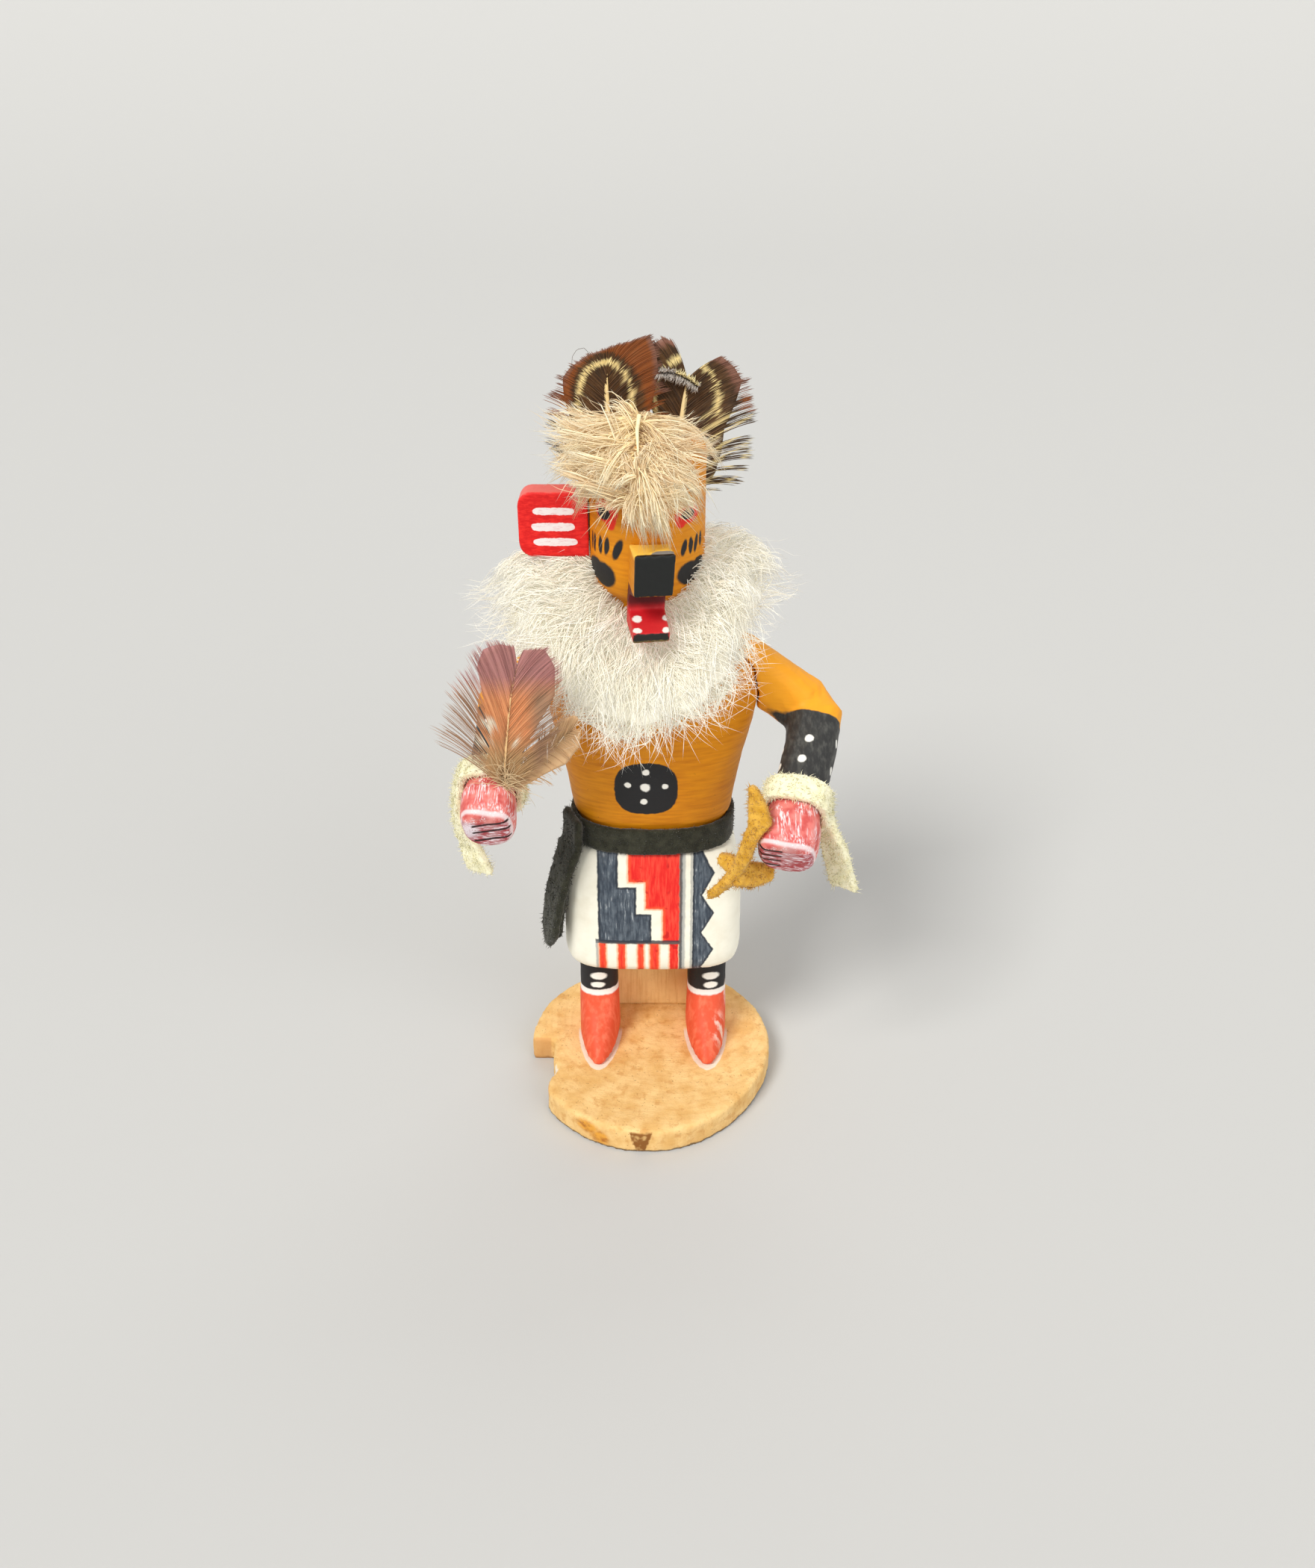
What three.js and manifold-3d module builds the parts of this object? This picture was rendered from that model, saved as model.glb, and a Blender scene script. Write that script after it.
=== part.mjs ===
// Kachina doll: a carved and painted wooden figure on a slice of a branch, with a fur ruff, feathers and
// suede trim. Millimetres, +Z up. The origin is on the underside of the base, under the figure. The figure
// faces -Y, so its own right side is at -X.
import * as THREE from "three";
import { mergeVertices } from "three/addons/utils/BufferGeometryUtils.js";
import Module from "manifold-3d";

const wasm = await Module();
wasm.setup();

// Driving dimensions
const GAP = 0.3; // left between pieces that are glued or tied together
const BASE_WIDTH = 62.4;
const BASE_DEPTH = 64.8;
const BASE_THICK = 7;
const BASE_FLAT = 25.4; // from the middle to the flat stretch of the rim at the figure's right
const CRACK_WIDTH = 6.5; // the open drying crack in that stretch
const CRACK_DEPTH = 1.2;
const BLOCK_WIDTH = 30;
const BLOCK_THICK = 6.4;
const FIGURE_HEIGHT = 155.4; // from the top of the base to the top of the head
const LEG_SPACING = 27.8; // between the middles of the two legs
const LEG_WIDTH = 10.3;
const HEAD_DIAMETER = 24.9;
const HEAD_TURN = THREE.MathUtils.degToRad(8); // towards the figure's left
const SNOUT_LENGTH = 9.55;
const SNOUT_WIDTH = 8.15;
const EAR_WIDTH = 14.85;
const EAR_HEIGHT = 14.1;
const EAR_THICK = 6.4;
const EAR_CORNER = 3;
const BELT_THICK = 1.5;
const SASH_THICK = 1.2;
const CUFF_THICK = 1.7;
const BRANCH_THICK = 1.8;
const FEATHER_THICK = 0.7;
const FINGER_CUT = 0.5; // width and depth of the saw cuts between the fingers
const RUFF_SIDE = 33; // from the middle of the ruff to its tips, at the sides, in front and behind
const RUFF_FRONT = 26.5;
const RUFF_BACK = 25;
const RUFF_THICK = 9.5; // half of the thickness at the sides
const PLUME_WIDTH = 39;
const PLUME_LENGTH = 25;
const PLUME_THICK = 21;

// The carving's rows and points are written for a figure of this height, and follow the real height.
const DRAWN_HEIGHT = 155.4;
const CARVING = FIGURE_HEIGHT / DRAWN_HEIGHT;

// Rows of the torso and kilt: height above the base, half width, reach to the front, reach to the back,
// squareness.
const HEM = 28.1;
const WAIST_LOW = 61.8;
const WAIST_HIGH = 69;
const BODY_MIDDLE = [0.3, 5];
const BODY_ROWS = [
  [HEM, 20.2, 12.7, 12.9, 4],
  [29.6, 21.4, 13.8, 14, 4],
  [33, 21.9, 14.2, 14.3, 4],
  [45, 21.8, 14.1, 14.2, 4],
  [53, 21.1, 13.8, 13.9, 3.9],
  [58, 20.2, 13.1, 13.2, 3.5],
  [WAIST_LOW - 0.8, 19.3, 12.3, 12.4, 3],
  [WAIST_LOW, 17.8, 11.3, 11.3, 2.5],
  [WAIST_HIGH, 17.8, 11.3, 11.3, 2.5],
  [WAIST_HIGH + 0.6, 18.6, 12, 12, 2.6],
  [77, 19.8, 12.8, 12.6, 2.6],
  [85, 21.1, 13.3, 13, 2.6],
  [93, 23.2, 13.3, 13, 2.7],
  [100, 24.3, 12.7, 12.5, 2.7],
  [106, 23.4, 11.3, 11.3, 2.6],
  [111, 19.2, 9.2, 9.4, 2.4],
  [115, 12.6, 7.6, 8.6, 2.1],
  [118.5, 8.8, 6.8, 8.4, 2],
  [124.5, 8.8, 6.8, 8.4, 2],
];

// Rows of a leg with its boot: height above the base, where the front is, half width as a share of the
// leg's, and squareness of the front.
const LEG_MIDDLE_Y = 4;
const LEG_BACK_Y = 12.5;
const HEEL_SQUARENESS = 2.3;
const LEG_ROWS = [
  [0, -12.3, 0.98, 1.75],
  [1.6, -12, 1.02, 1.75],
  [3.5, -10.2, 1.02, 1.8],
  [5.8, -7.4, 1.02, 1.9],
  [8.4, -4.2, 1.01, 2],
  [11, -1.9, 1, 2.1],
  [13.5, -0.6, 1, 2.2],
  [13.8, 0, 0.96, 2.2],
  [30, 0, 0.96, 2.2],
];

// Rows of the head's round block: height above the base, radius as a share of the head's.
const HEAD_MIDDLE = [-0.7, 6];
const HEAD_TOP = DRAWN_HEIGHT;
const HEAD_ROWS = [
  [121.6, 0.38],
  [122.3, 0.64],
  [124.2, 0.84],
  [126.8, 0.96],
  [129.4, 1],
  [HEAD_TOP - 0.9, 1],
  [HEAD_TOP, 0.94],
];

// A limb's stations: x, y, height above the base, half width, half height. The elbow is at the fourth and
// fifth.
const ARM_LEFT = [
  [13, 5.5, 109.5, 5.6, 6.4],
  [20, 5.5, 105.7, 5.6, 6.4],
  [28.5, 5.3, 99.7, 5.6, 6.3],
  [34.6, 4.9, 95.5, 6.3, 6.3],
  [37.2, 1.4, 92.8, 6.5, 6.3],
  [36.1, -5, 89.2, 5.9, 6.2],
  [32.9, -15.2, 83.2, 5.7, 6],
  [31.4, -20.2, 80.4, 5.6, 6],
  [30.6, -22.8, 79, 6.6, 7],
  [29.6, -26.5, 76.8, 6.7, 7.2],
  [29, -28.6, 75.6, 6.1, 6.6],
  [28.8, -29.5, 75.1, 5.1, 5.6],
];
const ARM_RIGHT = [
  [-12, 5.5, 110.5, 5.6, 6.4],
  [-18.5, 5.5, 106.7, 5.6, 6.4],
  [-25.5, 5.3, 101.8, 5.6, 6.3],
  [-30.4, 4.9, 98.6, 6.2, 6.3],
  [-32.9, 1.4, 96, 6.4, 6.2],
  [-33.3, -5, 93, 5.6, 6.1],
  [-34.2, -16.2, 88.1, 5.4, 5.9],
  [-34.5, -20.8, 86.2, 5.3, 5.8],
  [-34.6, -23, 85.2, 5.9, 7],
  [-34.5, -26.5, 83.6, 6, 7.2],
  [-34.4, -28.6, 82.6, 5.4, 6.5],
  [-34.4, -29.5, 82.2, 4.5, 5.5],
];
const WRIST_FROM = 6; // the cuff lies between these two stations of an arm
const WRIST_TO = 7;

// Colours and finishes of the real pieces.
const finish = (color, roughness) => new THREE.MeshStandardMaterial({ color, roughness, metalness: 0 });
const OCHRE_PAINT = finish(0xc07c14, 0.6);
const BLACK_PAINT = finish(0x24272a, 0.55);
const RED_PAINT = finish(0xd8201c, 0.55);
const RAW_WOOD = finish(0xe0be8c, 0.75);
const BLACK_SUEDE = finish(0x2a2c24, 0.95);
const CREAM_SUEDE = finish(0xf0ecc4, 0.95);
const TAN_SUEDE = finish(0xbe8a32, 0.95);
const WHITE_FUR = finish(0xf0ecdc, 0.9);
const PALE_DOWN = finish(0xdcc3a0, 0.9);
const BANDED_FEATHER = finish(0x6b3a1e, 0.7);
const RUSSET_FEATHER = finish(0xa0643c, 0.7);

// A closed solid from points and triangles.
function solidOf(positions, triangles) {
  return new wasm.Manifold(new wasm.Mesh({ numProp: 3, vertProperties: positions, triVerts: triangles }));
}

// A closed solid from a three.js geometry.
function solidFrom(geometry) {
  geometry.deleteAttribute("normal");
  geometry.deleteAttribute("uv");
  const merged = mergeVertices(geometry, 1e-4);
  return solidOf(merged.attributes.position.array, new Uint32Array(merged.index.array));
}

// A named mesh of a solid, without the crumbs that a cut can leave beside it.
function meshOf(name, solid, material) {
  const made = solid
    .decompose()
    .reduce((most, body) => (body.volume() > most.volume() ? body : most))
    .getMesh();
  const geometry = new THREE.BufferGeometry();
  geometry.setAttribute("position", new THREE.BufferAttribute(made.vertProperties, 3));
  geometry.setIndex(new THREE.BufferAttribute(made.triVerts, 1));
  const mesh = new THREE.Mesh(geometry, material);
  mesh.name = name;
  return mesh;
}

// A solid through rings of points, with a flat fan on both ends. Each ring turns the same way round the
// travel.
function loft(rings) {
  const around = rings[0].length;
  const points = rings.flat();
  const faces = [];
  for (let row = 0; row + 1 < rings.length; row++) {
    for (let i = 0; i < around; i++) {
      const here = row * around + i;
      const next = row * around + ((i + 1) % around);
      faces.push(here, next, next + around, here, next + around, here + around);
    }
  }
  for (const row of [0, rings.length - 1]) {
    const middle = new THREE.Vector3();
    rings[row].forEach((point) => middle.add(point));
    points.push(middle.divideScalar(around));
    const hub = points.length - 1;
    for (let i = 0; i < around; i++) {
      const here = row * around + i;
      const next = row * around + ((i + 1) % around);
      faces.push(...(row === 0 ? [next, here, hub] : [here, next, hub]));
    }
  }
  return solidOf(new Float32Array(points.flatMap((p) => p.toArray())), new Uint32Array(faces));
}

// Points of a squarish oval: a squareness of 2 is an ellipse, and more comes nearer to a rectangle.
function oval(count, halfWidth, front, back, squareness, backSquareness = squareness) {
  const bulge = (value, power) => Math.sign(value) * Math.abs(value) ** power;
  return Array.from({ length: count }, (_, i) => {
    const turn = (2 * Math.PI * i) / count;
    const inFront = Math.sin(turn) < 0;
    const reach = inFront ? front : back;
    const power = 2 / (inFront ? squareness : backSquareness);
    return new THREE.Vector2(bulge(Math.cos(turn), power) * halfWidth, bulge(Math.sin(turn), power) * reach);
  });
}

// An upright carved form through ovals round one middle. With grow, it is that much fatter, and longer too
// unless it has its own lengthening.
function upright([x, y], rows, count, grow = 0, lengthen = grow) {
  const last = rows.length - 1;
  const rings = rows.map(([height, halfWidth, front, back, ...squareness], row) => {
    const longer = row === 0 ? -lengthen : row === last ? lengthen : 0;
    const [wide, forward, backward] = [halfWidth, front, back].map((reach) => reach * CARVING + grow);
    const ring = oval(count, wide, forward, backward, ...squareness);
    const place = new THREE.Vector3(x, y, height).multiplyScalar(CARVING);
    return ring.map((p) => new THREE.Vector3(place.x + p.x, place.y + p.y, place.z + longer));
  });
  return loft(rings);
}

const torsoAndKilt = (grow = 0) => upright(BODY_MIDDLE, BODY_ROWS, 36, grow);

function head(grow = 0) {
  const radius = HEAD_DIAMETER / 2 / CARVING;
  const rows = HEAD_ROWS.map(([height, share]) => [height, ...Array(3).fill(share * radius), 2]);
  return upright(HEAD_MIDDLE, rows, 36, grow);
}

function leg(side, grow = 0) {
  const halfWidth = LEG_WIDTH / 2 / CARVING;
  const back = LEG_BACK_Y - LEG_MIDDLE_Y;
  const rows = LEG_ROWS.map(([height, front, share, squareness]) => [
    height,
    share * halfWidth,
    LEG_MIDDLE_Y - front,
    back,
    squareness,
    HEEL_SQUARENESS,
  ]);
  const x = BODY_MIDDLE[0] + (side * LEG_SPACING) / 2 / CARVING;
  return upright([x, LEG_MIDDLE_Y], rows, 20, grow);
}

function carvedFigure(grow = 0) {
  return torsoAndKilt(grow).add(head(grow)).add(leg(-1, grow)).add(leg(1, grow));
}

// The direction of travel at each point of a path.
function travels(path) {
  return path.map((_, i) => {
    const from = path[Math.max(i - 1, 0)];
    const to = path[Math.min(i + 1, path.length - 1)];
    return new THREE.Vector3().subVectors(to, from).normalize();
  });
}

const UP = new THREE.Vector3(0, 0, 1);

const stationPoint = ([x, y, height]) => new THREE.Vector3(x, y, height).multiplyScalar(CARVING);

// The three directions at a limb's station: across it, up from its top side, and along it.
function limbAxes(along) {
  const across = new THREE.Vector3().crossVectors(UP, along).normalize();
  return [across, new THREE.Vector3().crossVectors(along, across), along];
}

const LIMB_SQUARENESS = 2.7;

// A limb through its stations. With grow, it is that much fatter, and longer too unless it has its own
// lengthening.
function limb(stations, grow = 0, lengthen = grow) {
  const path = stations.map(stationPoint);
  const directions = travels(path);
  const rings = stations.map(([, , , halfWidth, halfHeight], i) => {
    const [across, up, along] = limbAxes(directions[i]);
    const longer = i === 0 ? -lengthen : i === stations.length - 1 ? lengthen : 0;
    const high = halfHeight * CARVING + grow;
    return oval(16, halfWidth * CARVING + grow, high, high, LIMB_SQUARENESS).map((p) =>
      path[i].clone().addScaledVector(across, p.x).addScaledVector(up, p.y).addScaledVector(along, longer),
    );
  });
  return loft(rings);
}

// An arm, cut to fit the body, with saw cuts between the fingers on the end of its fist.
function arm(stations, cuts) {
  let made = limb(stations).subtract(carvedFigure(GAP));
  const path = stations.map(stationPoint);
  const [across, up, along] = limbAxes(travels(path).at(-1));
  for (const [shift, rise, length] of cuts) {
    const place = path
      .at(-1)
      .clone()
      .addScaledVector(across, shift * CARVING)
      .addScaledVector(up, rise * CARVING);
    const cut = new THREE.BoxGeometry(length * CARVING, FINGER_CUT, 2 * FINGER_CUT);
    cut.applyMatrix4(new THREE.Matrix4().makeBasis(across, up, along).setPosition(place));
    made = made.subtract(solidFrom(cut));
  }
  return made;
}

// A flat strip along a path. A row holds a place, the direction of the strip's width, and its half width.
function strip(rows, thick) {
  const path = rows.map(([place]) => stationPoint(place));
  const directions = travels(path);
  const rings = rows.map(([, width, halfWidth], i) => {
    const across = new THREE.Vector3(...width).normalize();
    const through = new THREE.Vector3().crossVectors(directions[i], across).normalize();
    const half = halfWidth * CARVING;
    return [
      [half, thick / 2],
      [-half, thick / 2],
      [-half, -thick / 2],
      [half, -thick / 2],
    ].map(([w, t]) => path[i].clone().addScaledVector(across, w).addScaledVector(through, t));
  });
  return loft(rings);
}

// A cuff: a band round the wrist with one hanging end.
function cuff(stations, tail, grow = 0) {
  const wrist = stations.slice(WRIST_FROM, WRIST_TO + 1);
  return limb(wrist, GAP + CUFF_THICK + grow, grow)
    .add(strip(tail, CUFF_THICK + 2 * grow))
    .subtract(limb(stations, GAP));
}

// A feather's vane as a thin plate, cupped by that much for each square millimetre of reach. A row holds a
// place on the shaft, the reach to the -X and +X side and by how many degrees the row rises towards +X.
const VANE_STEPS = 6;
function vane(rows, cup) {
  const path = rows.map(([place]) => stationPoint(place));
  const directions = travels(path);
  const facing = new THREE.Vector3(0, -1, 0);
  const rings = rows.map(([, toMinus, toPlus, rise = 0], i) => {
    const across = new THREE.Vector3().crossVectors(directions[i], facing).normalize();
    across.applyAxisAngle(facing, THREE.MathUtils.degToRad(rise));
    const side = (front) =>
      Array.from({ length: VANE_STEPS + 1 }, (_, k) => {
        const reach = ((k / VANE_STEPS) * (toMinus + toPlus) - toMinus) * CARVING;
        const depth = (front ? FEATHER_THICK / 2 : -FEATHER_THICK / 2) - cup * reach * reach;
        return path[i].clone().addScaledVector(across, reach).addScaledVector(facing, depth);
      });
    return [...side(true), ...side(false).reverse()];
  });
  return loft(rings);
}

// Base: a lopsided slice of a branch. Seen from above, its rim is an oval that is dented at the figure's
// left front and swollen at its right back, with a flat stretch that ends against a lobe.
const BASE_MIDDLE_Y = -2.2;
const LOBE_ANGLE = 178;
const FLAT_ANGLE = -145;
const RIM_STEP = 7;
const RIM_DENT = { angle: -38, amount: 0.055, sharpness: 6 };
const RIM_SWELLING = { angle: 150, amount: 0.03, sharpness: 12 };
const CRACK_FRONT_Y = -15;
// How far the rim bulges past its flat stretch, and how far in front of the crack.
const SHOULDER = [1.4, 2.6];
function rimPoint(degrees) {
  const near = ({ angle, amount, sharpness }) =>
    amount * Math.max(0, Math.cos(THREE.MathUtils.degToRad(degrees - angle))) ** sharpness;
  const turn = THREE.MathUtils.degToRad(degrees);
  const reach = (1 - near(RIM_DENT) + near(RIM_SWELLING)) / 2;
  return new THREE.Vector2(Math.cos(turn) * BASE_WIDTH, Math.sin(turn) * BASE_DEPTH)
    .multiplyScalar(reach)
    .add(new THREE.Vector2(0, BASE_MIDDLE_Y));
}
function baseSlab() {
  const lobe = rimPoint(LOBE_ANGLE);
  const corner = rimPoint(FLAT_ANGLE);
  const rim = new THREE.Shape();
  rim.moveTo(lobe.x, lobe.y);
  for (let degrees = LOBE_ANGLE - RIM_STEP; degrees > FLAT_ANGLE; degrees -= RIM_STEP) {
    const point = rimPoint(degrees);
    rim.lineTo(point.x, point.y);
  }
  rim.lineTo(corner.x, corner.y);
  const bulge = new THREE.Vector2(-BASE_FLAT - SHOULDER[0], CRACK_FRONT_Y - SHOULDER[1]);
  rim.quadraticCurveTo(bulge.x, bulge.y, -BASE_FLAT, CRACK_FRONT_Y);
  rim.lineTo(-BASE_FLAT + CRACK_DEPTH, CRACK_FRONT_Y + CRACK_WIDTH / 3);
  rim.lineTo(-BASE_FLAT, CRACK_FRONT_Y + CRACK_WIDTH);
  rim.lineTo(-BASE_FLAT, lobe.y);
  rim.closePath();
  const options = { depth: BASE_THICK, bevelEnabled: false, curveSegments: 8 };
  return solidFrom(new THREE.ExtrudeGeometry(rim, options));
}

// Block: stands on the base behind the legs, up to the hem of the kilt.
function propBlock() {
  const height = HEM * CARVING - GAP;
  const front = LEG_BACK_Y * CARVING + GAP;
  const block = new THREE.BoxGeometry(BLOCK_WIDTH, BLOCK_THICK, height);
  block.translate(BODY_MIDDLE[0] * CARVING, front + BLOCK_THICK / 2, height / 2);
  return solidFrom(block);
}

// Snout: a tapering block with a wedge sawn out for the mouth. Its profile is drawn forward of the head's
// axis.
const SNOUT_TOP = 138.2;
const SNOUT_BOTTOM = 119.5;
const SNOUT_ASIDE = -1.2; // how far the top is off the head's middle
const SNOUT_SIDE_SHIFT = 0.051; // sideways lean for each millimetre below the top
const SNOUT_TAPER = 0.03; // width lost for each millimetre below the top
const SNOUT_ROOT = 2; // how far the block reaches into the head's round before it is cut to fit
const SNOUT_DROP = 1; // how much lower the top is at the head than at the front
const JAW_THICK = 2.1;
const UPPER_JAW_THICK = 8.6;
const THROAT = 0.9; // from the head to the bottom of the mouth cut
const THROAT_LOW = 1.8; // the bottom of the cut, above the lower jaw's front edge
const THROAT_HIGH = 5.4;
function snout(grow = 0) {
  const radius = HEAD_DIAMETER / 2;
  const front = radius + SNOUT_LENGTH + grow;
  const top = SNOUT_TOP * CARVING + grow;
  const bottom = SNOUT_BOTTOM * CARVING - grow;
  const jaw = SNOUT_BOTTOM * CARVING + JAW_THICK;
  const profile = new THREE.Shape();
  profile.moveTo(radius - SNOUT_ROOT, bottom);
  profile.lineTo(front, bottom);
  profile.lineTo(front, jaw);
  if (grow === 0) {
    profile.lineTo(radius + THROAT, jaw + THROAT_LOW);
    profile.lineTo(radius + THROAT, jaw + THROAT_HIGH);
    profile.lineTo(front, top - UPPER_JAW_THICK);
  }
  profile.lineTo(front, top);
  profile.lineTo(radius - SNOUT_ROOT, top - SNOUT_DROP);
  const geometry = new THREE.ExtrudeGeometry(profile, { depth: 1, bevelEnabled: false });
  const forward = new THREE.Vector3(Math.sin(HEAD_TURN), -Math.cos(HEAD_TURN), 0);
  const sideways = new THREE.Vector3(Math.cos(HEAD_TURN), Math.sin(HEAD_TURN), 0);
  const at = geometry.attributes.position;
  for (let i = 0; i < at.count; i++) {
    const below = top - at.getY(i);
    const width = SNOUT_WIDTH + 2 * grow - below * SNOUT_TAPER;
    const place = new THREE.Vector3(HEAD_MIDDLE[0] * CARVING, HEAD_MIDDLE[1] * CARVING, at.getY(i));
    place.addScaledVector(forward, at.getX(i));
    place.addScaledVector(sideways, SNOUT_ASIDE + (0.5 - at.getZ(i)) * width - below * SNOUT_SIDE_SHIFT);
    at.setXYZ(i, place.x, place.y, place.z);
  }
  return solidFrom(geometry);
}

// Ear board: its two outer corners are round, and its inner end butts against the head.
const EAR_MIDDLE_HEIGHT = 138.2;
const EAR_FRONT_Y = 3;
function earBoard(grow = 0) {
  const inner = HEAD_MIDDLE[0] * CARVING - HEAD_DIAMETER / 4;
  const outer = HEAD_MIDDLE[0] * CARVING - HEAD_DIAMETER / 2 - EAR_WIDTH - grow;
  const low = EAR_MIDDLE_HEIGHT * CARVING - EAR_HEIGHT / 2 - grow;
  const high = low + EAR_HEIGHT + 2 * grow;
  const board = new THREE.Shape();
  board.moveTo(inner, low);
  board.lineTo(inner, high);
  board.lineTo(outer + EAR_CORNER, high);
  board.absarc(outer + EAR_CORNER, high - EAR_CORNER, EAR_CORNER, Math.PI / 2, Math.PI, false);
  board.absarc(outer + EAR_CORNER, low + EAR_CORNER, EAR_CORNER, Math.PI, 1.5 * Math.PI, false);
  board.closePath();
  const thick = EAR_THICK + 2 * grow;
  const geometry = new THREE.ExtrudeGeometry(board, { depth: thick, bevelEnabled: false, curveSegments: 6 });
  geometry.rotateX(Math.PI / 2);
  geometry.translate(0, EAR_FRONT_Y * CARVING + EAR_THICK + grow, 0);
  return solidFrom(geometry);
}

// Belt: a band that fills the groove of the waist.
function belt(grow = 0) {
  const waist = BODY_ROWS.filter(([height]) => height === WAIST_LOW || height === WAIST_HIGH);
  const fatter = GAP + BELT_THICK + grow;
  return upright(BODY_MIDDLE, waist, 36, fatter, grow - GAP).subtract(torsoAndKilt(GAP));
}

// Sash: one strip doubled over the belt at the figure's right hip. A row holds height, distance out and
// half width.
const SASH_FACING = [-0.917, -0.4];
const SASH_STEP = 2.2; // the inner end hangs this much further back
function sashEnd(rows, shift) {
  return strip(
    rows.map(([height, out, halfWidth]) => [
      [
        BODY_MIDDLE[0] + SASH_FACING[0] * out - SASH_FACING[1] * shift,
        BODY_MIDDLE[1] + SASH_FACING[1] * out + SASH_FACING[0] * shift,
        height,
      ],
      [-SASH_FACING[1], SASH_FACING[0], 0],
      halfWidth,
    ]),
    SASH_THICK,
  );
}
function sash() {
  const outer = [
    [70, 20.2, 4.3],
    [62.5, 20.8, 4.5],
    [59.5, 22.2, 4.4],
    [56, 23.4, 4.4],
    [52, 24.7, 4.4],
    [46, 26.1, 4.2],
    [39.5, 27.2, 3.7],
    [35.4, 27.7, 1.2],
  ];
  const inner = [
    [61, 21.2, 3.6],
    [57.5, 22, 3.6],
    [52.5, 23, 3.6],
    [46, 24.2, 3.6],
    [40, 25, 3.4],
    [36.4, 25.4, 2.6],
  ];
  return sashEnd(outer, 0).add(sashEnd(inner, -SASH_STEP)).subtract(torsoAndKilt(GAP)).subtract(belt(GAP));
}

// Fur ruff: a shaggy ring round the neck, wide over the shoulders and hanging low in front.
const RUFF_MIDDLE = [-2.4, 5];
const RUFF_HEIGHT = 120;
const RUFF_NECK = 6; // radius of the ring's root
const RUFF_AROUND = 44;
const RUFF_ROOT_DROP = 9; // the front of the root lies this much lower
const RUFF_TIP_DROP = 21;
const RUFF_TIP_RISE = 2; // the tips at the back lie this much higher
const RUFF_THIN = 2.5; // the front and the back are this much thinner
// The ruff's section: share of the way out from the neck, and share of the thickness above or below its
// middle.
const RUFF_PROFILE = [
  [0, -0.7],
  [0.35, -0.95],
  [0.7, -0.9],
  [0.93, -0.45],
  [1, 0],
  [0.93, 0.5],
  [0.7, 0.95],
  [0.35, 1],
  [0, 0.75],
];
function ruffSection(turn) {
  const outward = new THREE.Vector3(Math.cos(turn), Math.sin(turn), 0);
  const front = Math.max(0, -Math.sin(turn));
  const back = Math.max(0, Math.sin(turn));
  const tufts = 1 + 0.035 * Math.sin(11 * turn) + 0.03 * Math.sin(17 * turn + 1);
  const middle = front > 0 ? RUFF_FRONT : RUFF_BACK;
  const reach = THREE.MathUtils.lerp(RUFF_SIDE, middle, (front + back) ** 2) * tufts;
  const root = RUFF_HEIGHT - RUFF_ROOT_DROP * front;
  const tip = RUFF_HEIGHT - RUFF_TIP_DROP * front ** 1.6 + RUFF_TIP_RISE * back;
  const thick = RUFF_THICK - RUFF_THIN * (front + back) ** 2;
  return RUFF_PROFILE.map(([share, side]) =>
    new THREE.Vector3(...RUFF_MIDDLE, THREE.MathUtils.lerp(root, tip, share ** 1.4) + side * thick)
      .addScaledVector(outward, THREE.MathUtils.lerp(RUFF_NECK, reach, share))
      .multiplyScalar(CARVING),
  );
}
function furRuff() {
  const step = (2 * Math.PI) / RUFF_AROUND;
  const sections = Array.from({ length: RUFF_AROUND }, (_, i) => ruffSection(i * step));
  return ringSolid(sections)
    .subtract(carvedFigure(GAP))
    .subtract(limb(ARM_LEFT, GAP))
    .subtract(limb(ARM_RIGHT, GAP))
    .subtract(snout(GAP))
    .subtract(earBoard(GAP));
}

// A closed ring of sections, each joined to the next and the last to the first.
function ringSolid(sections) {
  const count = sections[0].length;
  const faces = [];
  sections.forEach((_, row) => {
    const nextRow = (row + 1) % sections.length;
    for (let i = 0; i < count; i++) {
      const j = (i + 1) % count;
      faces.push(row * count + i, nextRow * count + j, row * count + j);
      faces.push(row * count + i, nextRow * count + i, nextRow * count + j);
    }
  });
  const points = sections.flat().flatMap((p) => p.toArray());
  return solidOf(new Float32Array(points), new Uint32Array(faces));
}

// Forehead plume: a shaggy dome of down that lies over the top and front of the head.
const PLUME_MIDDLE = [-1.6, -1.5, 151.2];
const PLUME_TILT = THREE.MathUtils.degToRad(28);
function foreheadPlume() {
  const dome = new THREE.SphereGeometry(1, 26, 16);
  dome.rotateX(Math.PI / 2);
  const at = dome.attributes.position;
  for (let i = 0; i < at.count; i++) {
    const turn = Math.atan2(at.getY(i), at.getX(i));
    const level = Math.hypot(at.getX(i), at.getY(i));
    const tuft = 1 + level * (0.06 * Math.sin(9 * turn) + 0.05 * Math.sin(14 * turn + 2));
    at.setXYZ(i, at.getX(i) * tuft, at.getY(i) * tuft, at.getZ(i));
  }
  dome.scale(PLUME_WIDTH / 2, PLUME_LENGTH / 2, PLUME_THICK / 2);
  dome.rotateX(PLUME_TILT);
  dome.translate(...stationPoint(PLUME_MIDDLE).toArray());
  return solidFrom(dome).subtract(carvedFigure(GAP)).subtract(snout(GAP)).subtract(earBoard(GAP));
}

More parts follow.
